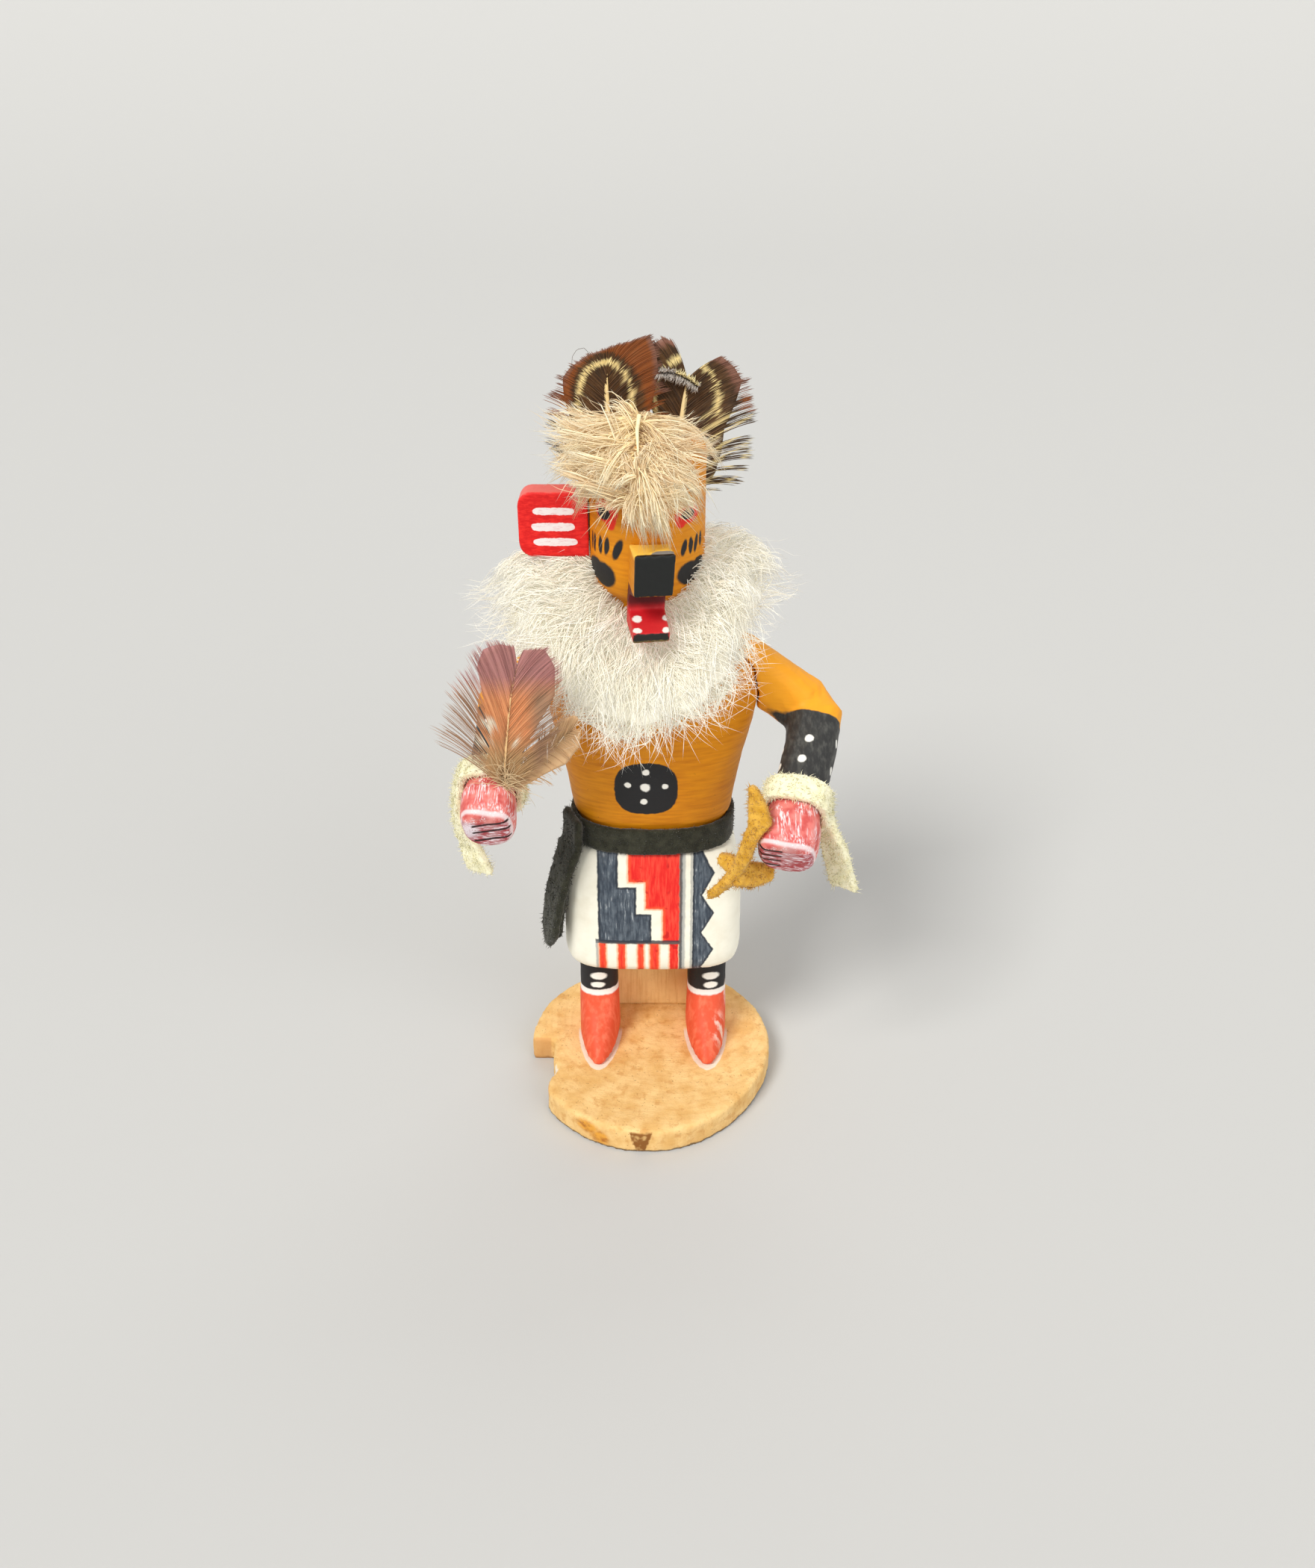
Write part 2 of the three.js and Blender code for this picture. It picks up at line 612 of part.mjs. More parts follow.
// Crown feathers: two broad feathers that stand against the back of the head, one behind the other.
const CROWN_Y = HEAD_MIDDLE[1] + HEAD_DIAMETER / 2 / CARVING + (GAP + FEATHER_THICK / 2) / CARVING;
const CROWN_STEP = (FEATHER_THICK + GAP) / CARVING;
const CROWN_LEAN = 0.5; // the right feather's vane lies this much further back than its root
const CROWN_CUP_LEFT = 0.002;
const CROWN_CUP_RIGHT = 0.001;
function crownFeatherLeft() {
  const rows = [
    [[-2.2, CROWN_Y, 138], 1.2, 1.2],
    [[-4.4, CROWN_Y, 144], 8.5, 4],
    [[-6.8, CROWN_Y + 0.1, 150], 14.5, 6],
    [[-8, CROWN_Y + 0.2, 156.5], 13.6, 8.2, 2],
    [[-8.4, CROWN_Y + 0.2, 161], 12, 8.8, 8],
    [[-8.5, CROWN_Y + 0.1, 165], 10.3, 9.1, 14],
    [[-8.9, CROWN_Y, 168], 9.4, 9.2, 19],
    [[-9.3, CROWN_Y - 0.1, 169.8], 8.2, 8.8, 22],
  ];
  return vane(rows, CROWN_CUP_LEFT).subtract(carvedFigure(GAP));
}
function crownFeatherRight() {
  const y = CROWN_Y + CROWN_STEP + CROWN_LEAN;
  const rows = [
    [[0.6, CROWN_Y + CROWN_STEP, 138], 1.4, 3],
    [[3, y - 0.3, 143], 3.4, 15],
    [[4.6, y, 149], 5, 16],
    [[5.8, y, 156], 5.8, 15],
    [[6.4, y, 162], 6.6, 13.8],
    [[6.6, y - 0.1, 166], 6.8, 12],
    [[6.8, y - 0.3, 169.6], 6.7, 8.6],
    [[7, y - 0.5, 172.8], 6.4, 3],
  ];
  const split = new THREE.Shape([
    new THREE.Vector2(9.3, 165.2),
    new THREE.Vector2(14.2, 169.6),
    new THREE.Vector2(15, 175),
    new THREE.Vector2(4.2, 175),
  ]);
  const reach = 12 * FEATHER_THICK;
  const wedge = new THREE.ExtrudeGeometry(split, { depth: reach, bevelEnabled: false });
  wedge.rotateX(Math.PI / 2);
  wedge.translate(0, y + reach / 2, 0);
  wedge.scale(CARVING, CARVING, CARVING);
  return vane(rows, CROWN_CUP_RIGHT).subtract(solidFrom(wedge));
}

// Feathers in the right fist: one upright, and one behind it that leans towards the body.
const HAND_CUP_MAIN = 0.004;
const HAND_CUP_SIDE = 0.001;
function handFeatherMain() {
  const rows = [
    [[-30.8, -25.2, 89], 1.5, 1.5],
    [[-30.4, -25.1, 94], 9, 3],
    [[-29.9, -25, 99], 14.6, 4.4],
    [[-29.2, -25, 106], 12.6, 9],
    [[-28.1, -24.8, 113], 9.8, 9.8],
    [[-27.2, -24.6, 118.5], 8.2, 9.2],
    [[-26.6, -24.5, 121.2], 7, 7.4],
    [[-26.4, -24.5, 122.4], 5, 4.6],
  ];
  return vane(rows, HAND_CUP_MAIN)
    .subtract(limb(ARM_RIGHT, GAP))
    .subtract(cuff(ARM_RIGHT, CUFF_TAIL_RIGHT, GAP));
}
function handFeatherSide() {
  const rows = [
    [[-30.6, -23.9, 88.6], 1.4, 1.6],
    [[-27, -23.7, 92.6], 3, 3],
    [[-22.4, -23.3, 97.2], 4.8, 4.6],
    [[-18.2, -22.9, 101], 4.6, 4.6],
    [[-15.6, -22.6, 103.6], 1.6, 2],
  ];
  return vane(rows, HAND_CUP_SIDE)
    .subtract(limb(ARM_RIGHT, GAP))
    .subtract(cuff(ARM_RIGHT, CUFF_TAIL_RIGHT, GAP));
}

// Branch: a forked strip of suede that passes along the inner side of the left fist.
function suedeBranch() {
  const facing = [0.72, -0.3, 0.62];
  const stem = [
    [[21.4, -27.4, 91.6], [1, -0.2, 0], 0.5],
    [[22.6, -28, 87.4], [1, -0.2, 0.1], 1.5],
    [[23.2, -28.6, 83.4], [1, -0.3, 0.2], 2],
    [[21.2, -28.6, 79], facing, 1.9],
    [[19.8, -27.8, 73.6], facing, 1.9],
    [[18, -26.8, 69.4], facing, 2.4],
    [[15.4, -26.2, 65.4], facing, 2.5],
    [[13.2, -26, 63.6], facing, 1.7],
  ];
  const nearProng = [
    [[19.6, -26.8, 70.6], [0, 0.3, 1], 1.9],
    [[17.4, -25.4, 71.3], [0, 0.3, 1], 1.6],
    [[15.4, -24.4, 71.9], [0, 0.3, 1], 0.8],
  ];
  const farProng = [
    [[18.8, -26.8, 69.4], [0, 0.5, 1], 2.2],
    [[22.6, -23.4, 67.2], [0, 0.5, 1], 2.4],
    [[26.8, -20.4, 65.6], [0, 0.5, 1], 1.2],
  ];
  return strip(stem, BRANCH_THICK)
    .add(strip(nearProng, BRANCH_THICK))
    .add(strip(farProng, BRANCH_THICK))
    .subtract(limb(ARM_LEFT, GAP));
}

// Hanging ends of the cuffs, and the finger cuts: shift across the fist, rise on its end, and length.
const CUFF_TAIL_LEFT = [
  [[37.4, -18.2, 84], [-0.1, -0.85, -0.4], 2.5],
  [[39, -18.2, 77.6], [0.45, -0.87, -0.1], 3],
  [[41.5, -17.2, 69], [0.75, -0.66, 0], 3.4],
  [[44.4, -16, 58.8], [0.82, -0.57, 0], 3.4],
];
const CUFF_TAIL_RIGHT = [
  [[-40.6, -18.4, 90.6], [0.05, -0.9, -0.4], 2.5],
  [[-42.2, -18.2, 84], [0.3, -0.95, 0], 3.1],
  [[-42.2, -18.2, 77.4], [0.45, -0.9, 0], 3.3],
  [[-40.2, -18.2, 71.4], [0.75, -0.66, 0], 3.4],
  [[-38.4, -18.4, 64.6], [0.9, -0.43, 0], 3.2],
];
const CUTS_LEFT = [-2.6, -1.1, 0.4, 1.9].map((rise) => [2.6, rise, 6.4]);
const CUTS_RIGHT = [-2.4, -0.2, 2].map((rise) => [-0.4, rise, 7.6]);

const figure = new THREE.Group();
figure.position.z = BASE_THICK;
figure.add(
  meshOf("prop_block", propBlock(), RAW_WOOD),
  meshOf("carved_figure", carvedFigure(), OCHRE_PAINT),
  meshOf("snout", snout().subtract(head(GAP)), BLACK_PAINT),
  meshOf("ear_board", earBoard().subtract(head(GAP)), RED_PAINT),
  meshOf("arm_left", arm(ARM_LEFT, CUTS_LEFT), OCHRE_PAINT),
  meshOf("arm_right", arm(ARM_RIGHT, CUTS_RIGHT), OCHRE_PAINT),
  meshOf("cuff_left", cuff(ARM_LEFT, CUFF_TAIL_LEFT), CREAM_SUEDE),
  meshOf("cuff_right", cuff(ARM_RIGHT, CUFF_TAIL_RIGHT), CREAM_SUEDE),
  meshOf("belt", belt(), BLACK_SUEDE),
  meshOf("sash", sash(), BLACK_SUEDE),
  meshOf("fur_ruff", furRuff(), WHITE_FUR),
  meshOf("forehead_plume", foreheadPlume(), PALE_DOWN),
  meshOf("crown_feather_left", crownFeatherLeft(), BANDED_FEATHER),
  meshOf("crown_feather_right", crownFeatherRight(), BANDED_FEATHER),
  meshOf("hand_feather_main", handFeatherMain(), RUSSET_FEATHER),
  meshOf("hand_feather_side", handFeatherSide(), RUSSET_FEATHER),
  meshOf("suede_branch", suedeBranch(), TAN_SUEDE),
);

const doll = new THREE.Group();
doll.add(meshOf("base_slab", baseSlab(), RAW_WOOD), figure);

export default doll;
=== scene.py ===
# %% [markdown]
# # A kachina doll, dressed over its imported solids
# The doll is carved from light wood, painted by hand, and trimmed with suede, rabbit fur and feathers. The
# solids give every piece its place and size. This lesson gives each piece its surface: paint that shows the
# brush, suede with a nap, fur and feathers built from real strands.

# %% Load the frame
import math

import bpy
import numpy as np
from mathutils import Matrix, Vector


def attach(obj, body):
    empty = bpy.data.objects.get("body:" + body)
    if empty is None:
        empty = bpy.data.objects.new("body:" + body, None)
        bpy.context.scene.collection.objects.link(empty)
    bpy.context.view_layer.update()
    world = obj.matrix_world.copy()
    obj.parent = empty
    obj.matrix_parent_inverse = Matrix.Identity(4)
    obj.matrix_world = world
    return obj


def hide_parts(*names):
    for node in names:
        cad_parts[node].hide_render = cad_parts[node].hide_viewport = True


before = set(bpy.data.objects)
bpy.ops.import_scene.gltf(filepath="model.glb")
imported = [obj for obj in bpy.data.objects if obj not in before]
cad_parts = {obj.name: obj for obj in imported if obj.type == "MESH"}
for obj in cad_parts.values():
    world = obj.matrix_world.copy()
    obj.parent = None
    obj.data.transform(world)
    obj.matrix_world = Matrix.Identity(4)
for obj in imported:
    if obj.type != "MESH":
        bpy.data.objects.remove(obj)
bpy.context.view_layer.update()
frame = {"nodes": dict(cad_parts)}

MM = 0.001
random = np.random.default_rng(11)
print("frame loaded:", len(frame["nodes"]), "nodes")

# %% [markdown]
# ## The view
# The photographer stood a little above the doll and looked down by 30 degrees. The same camera comes first,
# because every mark is judged through it.

# %% Camera
CAMERA_PLACE = (0.0015, -0.2568, 0.232)
LOOKING_DOWN = 30

bpy.ops.object.select_all(action="DESELECT")
bpy.ops.object.camera_add(location=CAMERA_PLACE, rotation=(math.radians(90 - LOOKING_DOWN), 0, 0))
camera = bpy.context.object
camera.data.lens = 29.14
camera.data.sensor_width = 36
camera.data.clip_start = 0.01
bpy.context.scene.camera = camera
bpy.context.scene.view_settings.view_transform = "Standard"
print("camera at", CAMERA_PLACE, "looking down by", LOOKING_DOWN, "degrees")

# %% [markdown]
# ## Light
# Small lamps would throw hard shadows through the fur. Three wide and far ones give soft light from the
# left, the right and behind, and a pale world fills what they leave.

# %% Lamps and world
def soft_light(name, direction, spread, strength, tint=(1, 1, 1)):
    """A wide, far lamp, so that the floor is lit evenly. direction is where the light comes from."""
    bpy.ops.object.light_add(type="SUN", location=direction)
    lamp = bpy.context.object
    lamp.name = name
    lamp.rotation_euler = Vector(direction).to_track_quat("Z", "Y").to_euler()
    lamp.data.angle = math.radians(spread)
    lamp.data.energy = strength
    lamp.data.color = tint
    print(name, "spreads over", spread, "degrees")


soft_light("key_light", (-0.45, -0.55, 0.75), 22, 2.3, (1, 0.985, 0.95))
soft_light("fill_light", (0.6, -0.6, 0.4), 50, 1.0)
soft_light("back_light", (0.2, 0.7, 0.6), 50, 0.9)

world = bpy.data.worlds.new("studio")
bpy.context.scene.world = world
world.use_nodes = True
world.node_tree.nodes["Background"].inputs["Color"].default_value = (1, 0.985, 0.96, 1)
world.node_tree.nodes["Background"].inputs["Strength"].default_value = 0.5

# %% [markdown]
# ## Floor
# A sheet of pale paper that curves up behind the doll has no edge to be seen. A plane with one side pulled
# up and its fold rounded off does the same.

# %% Floor sweep
FLOOR_SIZE = 12
SWEEP_HEIGHT = 7
SWEEP_ROUNDING = 4.5

bpy.ops.object.select_all(action="DESELECT")
bpy.ops.mesh.primitive_plane_add(size=FLOOR_SIZE, location=(0, 0, 0))
floor = bpy.context.object
floor.name = "floor_sweep"
bpy.ops.object.mode_set(mode="EDIT")
bpy.ops.mesh.select_all(action="DESELECT")
bpy.ops.object.mode_set(mode="OBJECT")
for edge in floor.data.edges:
    edge.select = all(floor.data.vertices[i].co.y > 5 for i in edge.vertices)
bpy.ops.object.mode_set(mode="EDIT")
bpy.ops.mesh.select_mode(type="EDGE")
bpy.ops.mesh.extrude_region_move(TRANSFORM_OT_translate={"value": (0, 0, SWEEP_HEIGHT)})
bpy.ops.object.mode_set(mode="OBJECT")
sweep = floor.modifiers.new("sweep", "BEVEL")
sweep.width = SWEEP_ROUNDING
sweep.segments = 24
bpy.ops.object.shade_smooth()
floor_paper = bpy.data.materials.new("floor_paper")
floor_paper.use_nodes = True
floor_paper.node_tree.nodes["Principled BSDF"].inputs["Base Color"].default_value = (0.56, 0.56, 0.55, 1)
floor_paper.node_tree.nodes["Principled BSDF"].inputs["Roughness"].default_value = 0.9
floor.data.materials.append(floor_paper)
print("floor sweep,", FLOOR_SIZE, "metres wide")

# %% [markdown]
# ## Mixing colours with nodes
# Paint on the real doll has an edge that wanders with the brush. Node networks can draw such marks at any
# size. Writing them link by link is slow, so a small helper turns each node into one short call.

# %% The paint box
def colour(red, green, blue):
    """A colour picked as on a screen, 0 to 255, turned into the light that a shader works with."""
    parts = [c / 255 for c in (red, green, blue)]
    return tuple(c / 12.92 if c <= 0.04045 else ((c + 0.055) / 1.055) ** 2.4 for c in parts) + (1,)


class PaintBox:
    """Builds one material from short calls. Places are millimetres in the doll's own frame."""

    def __init__(self, name, roughness=0.6, specular=0.35):
        self.material = bpy.data.materials.new(name)
        self.material.use_nodes = True
        self.tree = self.material.node_tree
        self.skin = self.tree.nodes["Principled BSDF"]
        self.skin.inputs["Roughness"].default_value = roughness
        self.skin.inputs["Specular IOR Level"].default_value = specular
        found = self.tree.nodes.new("ShaderNodeTexCoord").outputs["Object"]
        self.place = self.vector("SCALE", found, scale=1 / MM)

    def plug(self, socket, value):
        if isinstance(value, bpy.types.NodeSocket):
            self.tree.links.new(value, socket)
        elif value is not None:
            socket.default_value = value

    def math(self, operation, first, second=None):
        node = self.tree.nodes.new("ShaderNodeMath")
        node.operation = operation
        self.plug(node.inputs[0], first)
        self.plug(node.inputs[1], second)
        return node.outputs[0]

    def vector(self, operation, first, second=None, scale=None):
        node = self.tree.nodes.new("ShaderNodeVectorMath")
        node.operation = operation
        self.plug(node.inputs[0], first)
        self.plug(node.inputs[1], second)
        if scale is not None:
            self.plug(node.inputs["Scale"], scale)
        return node.outputs["Value" if operation in ("LENGTH", "DISTANCE", "DOT_PRODUCT") else "Vector"]

    def split(self, vector):
        node = self.tree.nodes.new("ShaderNodeSeparateXYZ")
        self.plug(node.inputs[0], vector)
        return node.outputs[0], node.outputs[1], node.outputs[2]

    def join(self, x, y, z):
        node = self.tree.nodes.new("ShaderNodeCombineXYZ")
        for socket, value in zip(node.inputs, (x, y, z)):
            self.plug(socket, value)
        return node.outputs[0]

    def step(self, value, off, on):
        """0 where the value is at off, 1 where it is at on, smooth between."""
        node = self.tree.nodes.new("ShaderNodeMapRange")
        node.interpolation_type = "SMOOTHSTEP"
        self.plug(node.inputs["Value"], value)
        node.inputs["From Min"].default_value = off
        node.inputs["From Max"].default_value = on
        return node.outputs["Result"]

    def noise(self, size, detail=2.0, stretch=(1, 1, 1), roughness=0.55, vector=None):
        """Grey noise with patches of about that many millimetres, wider along a stretched direction."""
        node = self.tree.nodes.new("ShaderNodeTexNoise")
        squeezed = tuple(1 / (size * s) for s in stretch)
        self.plug(node.inputs["Vector"], self.vector("MULTIPLY", vector or self.place, squeezed))
        node.inputs["Scale"].default_value = 1
        node.inputs["Detail"].default_value = detail
        node.inputs["Roughness"].default_value = roughness
        return node.outputs["Fac"]

    def wobbled(self, size=1.6, amount=0.5):
        """The place, pushed about a little, so that edges look brushed by hand."""
        node = self.tree.nodes.new("ShaderNodeTexNoise")
        self.plug(node.inputs["Vector"], self.vector("SCALE", self.place, scale=1 / size))
        node.inputs["Scale"].default_value = 1
        node.inputs["Detail"].default_value = 3
        pushed = self.vector("SUBTRACT", node.outputs["Color"], (0.5, 0.5, 0.5))
        return self.vector("ADD", self.place, self.vector("SCALE", pushed, scale=2 * amount))

    def mix(self, share, first, second):
        node = self.tree.nodes.new("ShaderNodeMix")
        node.data_type = "RGBA"
        self.plug(node.inputs[0], share)
        self.plug(node.inputs[6], first)
        self.plug(node.inputs[7], second)
        return node.outputs[2]

    def both(self, first, second):
        return self.math("MULTIPLY", first, second)

    def most(self, masks):
        total = masks[0]
        for mask in masks[1:]:
            total = self.math("MAXIMUM", total, mask)
        return total

    def oval(self, place, centre, radii, soft=0.12):
        """An oval seen from the front: centre and radii are across and up."""
        away = self.vector("SUBTRACT", place, (centre[0], 0, centre[1]))
        share = self.vector("LENGTH", self.vector("MULTIPLY", away, (1 / radii[0], 0, 1 / radii[1])))
        return self.step(share, 1 + soft, 1 - soft)

    def ball(self, place, centre, radii, soft=0.15):
        """All that lies near a point in space, with one radius or three."""
        radii = radii if isinstance(radii, tuple) else (radii,) * 3
        away = self.vector("SUBTRACT", place, tuple(centre))
        share = self.vector("LENGTH", self.vector("MULTIPLY", away, tuple(1 / r for r in radii)))
        return self.step(share, 1 + soft, 1 - soft)

    def depth_in(self, value, low, high):
        """How far a value is inside a range, below zero outside it."""
        away = self.math("ABSOLUTE", self.math("SUBTRACT", value, (low + high) / 2))
        return self.math("SUBTRACT", (high - low) / 2, away)

    def depth_in_box(self, across, up, left, right, bottom, top):
        return self.math("MINIMUM", self.depth_in(across, left, right), self.depth_in(up, bottom, top))

    def bump(self, height, strength, distance):
        node = self.tree.nodes.new("ShaderNodeBump")
        node.inputs["Strength"].default_value = strength
        node.inputs["Distance"].default_value = distance * MM
        self.plug(node.inputs["Height"], height)
        self.plug(self.skin.inputs["Normal"], node.outputs["Normal"])

    def finish(self, base):
        self.plug(self.skin.inputs["Base Color"], base)
        print(self.material.name, "has", len(self.tree.nodes), "nodes")
        return self.material


print("full white on screen is", colour(255, 255, 255), "in the shader")

# %% [markdown]
# ## Copies of the solids to work on
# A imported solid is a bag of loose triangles, and it is never touched itself. A merged copy can be remeshed,
# smoothed and roughened like a block of real wood.

# %% Working copies
def copy_of(node, name):
    """A merged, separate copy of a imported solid."""
    bpy.ops.object.select_all(action="DESELECT")
    piece = bpy.data.objects.new(name, frame["nodes"][node].data.copy())
    bpy.context.scene.collection.objects.link(piece)
    bpy.context.view_layer.objects.active = piece
    piece.select_set(True)
    piece.data.materials.clear()
    bpy.ops.object.mode_set(mode="EDIT")
    bpy.ops.mesh.select_all(action="SELECT")
    bpy.ops.mesh.remove_doubles(threshold=0.002 * MM)
    bpy.ops.object.mode_set(mode="OBJECT")
    return piece


def shape(piece, kind, **settings):
    """Adds a modifier and applies it."""
    bpy.ops.object.select_all(action="DESELECT")
    bpy.context.view_layer.objects.active = piece
    piece.select_set(True)
    bpy.ops.object.modifier_add(type=kind)
    modifier = piece.modifiers[-1]
    for key, value in settings.items():
        setattr(modifier, key, value)
    bpy.ops.object.modifier_apply(modifier=modifier.name)


def waver(piece, size, amount):
    """Pushes the surface in and out a little, as a knife or a saw leaves it."""
    texture = bpy.data.textures.new(piece.name + "_waver", "CLOUDS")
    texture.noise_scale = size * MM
    texture.noise_depth = 2
    shape(piece, "DISPLACE", texture=texture, strength=amount * MM, mid_level=0.5, texture_coords="LOCAL")


def carve(piece, voxel, smooth, wave=(4.0, 0.25)):
    """Turns the facets into an even, softly worn skin."""
    shape(piece, "REMESH", mode="VOXEL", voxel_size=voxel * MM)
    shape(piece, "SMOOTH", factor=0.5, iterations=smooth)
    waver(piece, *wave)
    bpy.ops.object.shade_smooth()


def count_triangles(piece):
    piece.data.calc_loop_triangles()
    return len(piece.data.loop_triangles)


def settle(piece, slot, material, *nodes):
    """Gives a finished piece its material, hangs it under the root and hides the solids that it stands for.
    slot is not used.
    """
    piece.data.materials.clear()
    piece.data.materials.append(material)
    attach(piece, "root")
    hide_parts(*nodes)
    print(piece.name, count_triangles(piece), "triangles")


print("solids to copy:", ", ".join(frame["nodes"]))

# %% [markdown]
# ## Bare wood
# The base is a slice sawn from a branch, and the block behind the legs is an offcut. Both are bare: faint
# rings, mottling, blotches and pores. The colours are noise in the doll's own space, so they run through the
# piece like real grain and also meet round its edges.

# %% Plain wood
PITH = (5, 9)


def plain_wood(wood, x, y):
    """Bare wood at a wobbled place. Gives its colour, its mottling and its fine grain."""
    from_pith = wood.join(wood.math("SUBTRACT", x, PITH[0]), wood.math("SUBTRACT", y, PITH[1]), 0)
    rings = wood.math("SINE", wood.math("MULTIPLY", wood.vector("LENGTH", from_pith), 3.4))
    mottle = wood.noise(5, 4)
    fine = wood.noise(0.5, 2, (1, 1, 3))
    base = wood.mix(wood.step(mottle, 0.3, 0.72), colour(243, 206, 142), colour(226, 180, 110))
    base = wood.mix(wood.both(wood.step(rings, 0.1, 1), 0.1), base, colour(196, 142, 78))
    base = wood.mix(wood.both(wood.step(fine, 0.5, 0.8), 0.25), base, colour(200, 150, 88))
    base = wood.mix(wood.both(wood.step(wood.noise(6, 4), 0.52, 0.72), 0.4), base, colour(212, 162, 92))
    blotches = wood.step(wood.noise(2.6, 5, roughness=0.7), 0.52, 0.66)
    base = wood.mix(wood.both(blotches, 0.5), base, colour(204, 146, 78))
    pores = wood.both(wood.step(wood.noise(0.55, 1), 0.66, 0.74), wood.step(wood.noise(4, 2), 0.4, 0.6))
    return wood.mix(wood.both(pores, 0.55), base, colour(140, 92, 44)), mottle, fine


print("the rings run round", PITH)

# %% [markdown]
# ## Marks on the slice
# The front shows a honey-coloured knot and a brown wedge of heartwood, and a thin dark line of inner bark
# runs along the lower edge. White glue fills the drying crack and shows in a thin line round the toes. That
# line follows the boots, so each point of the slab stores how far it is from them, and the paint reads it.

# %% Marks of the branch
KNOTS = [((-16.6, -31, 4.8), (3.6, 3, 1.9)), ((-12.6, -32.6, 2.6), (2.2, 3, 2.2))]
WEDGE_ACROSS = -2.6
BARK_FROM = 23
CRACK = (-24.9, -12.6, 6)


def branch_marks(wood, base, x):
    """Knot, wedge, bark, the lobe's sawn end and glue, over the bare wood. x is the wobbled place across."""
    across, deep, _ = wood.split(wood.place)
    rough = wood.wobbled(1.2, 0.6)
    rough_x, rough_y, rough_z = wood.split(rough)
    knot = wood.most([wood.ball(rough, middle, radii, 0.4) for middle, radii in KNOTS])
    stain = wood.step(wood.noise(1.4, 3, (2, 1, 1)), 0.4, 0.7)
    stain = wood.mix(stain, colour(226, 158, 52), colour(170, 100, 26))
    base = wood.mix(wood.both(knot, 0.9), base, stain)
    half = wood.math("ADD", wood.math("MULTIPLY", rough_z, 0.27), 1.1)
    offset = wood.math("ABSOLUTE", wood.math("SUBTRACT", rough_x, WEDGE_ACROSS))
    wedge = wood.step(wood.math("SUBTRACT", half, offset), -0.2, 0.3)
    wedge = wood.both(wedge, wood.both(wood.step(rough_y, -30, -32.5), wood.step(rough_z, 6.8, 6.0)))
    base = wood.mix(wood.both(wedge, wood.step(wood.noise(2.2, 2), 0.2, 0.5)), base, colour(138, 88, 38))
    from_middle = wood.vector("LENGTH", wood.join(across, wood.math("ADD", deep, 2.2), 0))
    bark = wood.both(wood.step(rough_z, 1.0, 0.5), wood.step(from_middle, BARK_FROM, BARK_FROM + 1))
    base = wood.mix(wood.both(bark, 0.85), base, colour(92, 72, 52))
    lobe_end = wood.both(wood.step(x, -25.8, -26.6), wood.step(deep, -0.2, -0.8))
    base = wood.mix(wood.both(lobe_end, 0.7), base, colour(206, 150, 92))
    to_boots = wood.tree.nodes.new("ShaderNodeAttribute")
    to_boots.attribute_name = "to_boots"
    toes = wood.both(wood.step(to_boots.outputs["Fac"], 0.95, 0.6), wood.step(deep, 4, 1))
    glue = wood.most([wood.ball(rough, CRACK, (0.9, 1.9, 3.0), 0.3), toes])
    return wood.mix(wood.both(glue, 0.75), base, colour(240, 236, 224))


def measure_glue(slab):
    """Stores at each point of the slab how far it is from the carved boots, in millimetres."""
    boots = frame["nodes"]["carved_figure"]
    distances = []
    for vertex in slab.data.vertices:
        _, nearest, _, _ = boots.closest_point_on_mesh(vertex.co)
        distances.append((vertex.co - nearest).length / MM)
    stored = slab.data.attributes.new("to_boots", "FLOAT", "POINT")
    stored.data.foreach_set("value", distances)
    print("nearest point of the slab to the boots:", round(min(distances), 2), "mm")


print(len(KNOTS), "ovals make the knot")

# %% [markdown]
# ## The base and the prop block
# A saw leaves sharp edges and a slightly uneven face. The copy is bevelled by a hair before it is remeshed,
# so that the edges stay, and two layers of waviness roughen it. The offcut has upright grain, and its colour
# is mixed paler than the base's. That is painted light: it stands in the kilt's shadow yet looks lit.

# %% Base and block
def raw_wood(name, on_base):
    wood = PaintBox(name, roughness=0.72, specular=0.25)
    x, y, _ = wood.split(wood.wobbled(9, 1.6))
    base, mottle, fine = plain_wood(wood, x, y)
    if on_base:
        base = branch_marks(wood, base, x)
    else:
        # Painted light: the offcut is mixed paler, so that it looks lit under the kilt's shadow.
        base = wood.mix(0.6, base, colour(255, 228, 162))
        grain = wood.noise(0.7, 3, (1, 1, 14))
        base = wood.mix(wood.both(wood.step(grain, 0.45, 0.7), 0.4), base, colour(214, 164, 96))
    wood.plug(wood.skin.inputs["Roughness"], wood.math("ADD", 0.62, wood.math("MULTIPLY", mottle, 0.2)))
    saw = wood.noise(0.45, 2, (5, 1, 1))
    wood.bump(wood.math("ADD", wood.math("MULTIPLY", saw, 0.6), wood.math("MULTIPLY", fine, 0.5)), 0.6, 0.2)
    return wood.finish(base)


def sawn(node, name, bevel, angle, voxel, smooth, wave):
    """A copy whose sawn edges stay: bevelled by a hair, remeshed and roughened."""
    piece = copy_of(node, name)
    limit = math.radians(angle)
    shape(piece, "BEVEL", width=bevel * MM, segments=2, limit_method="ANGLE", angle_limit=limit)
    shape(piece, "REMESH", mode="VOXEL", voxel_size=voxel * MM)
    shape(piece, "SMOOTH", factor=0.5, iterations=smooth)
    waver(piece, *wave)
    bpy.ops.object.shade_smooth()
    return piece


base_piece = sawn("base_slab", "base", bevel=0.35, angle=50, voxel=0.72, smooth=3, wave=(7, 0.5))
waver(base_piece, 1.6, 0.26)
measure_glue(base_piece)
settle(base_piece, "raw_wood", raw_wood("branch_slice", True), "base_slab")

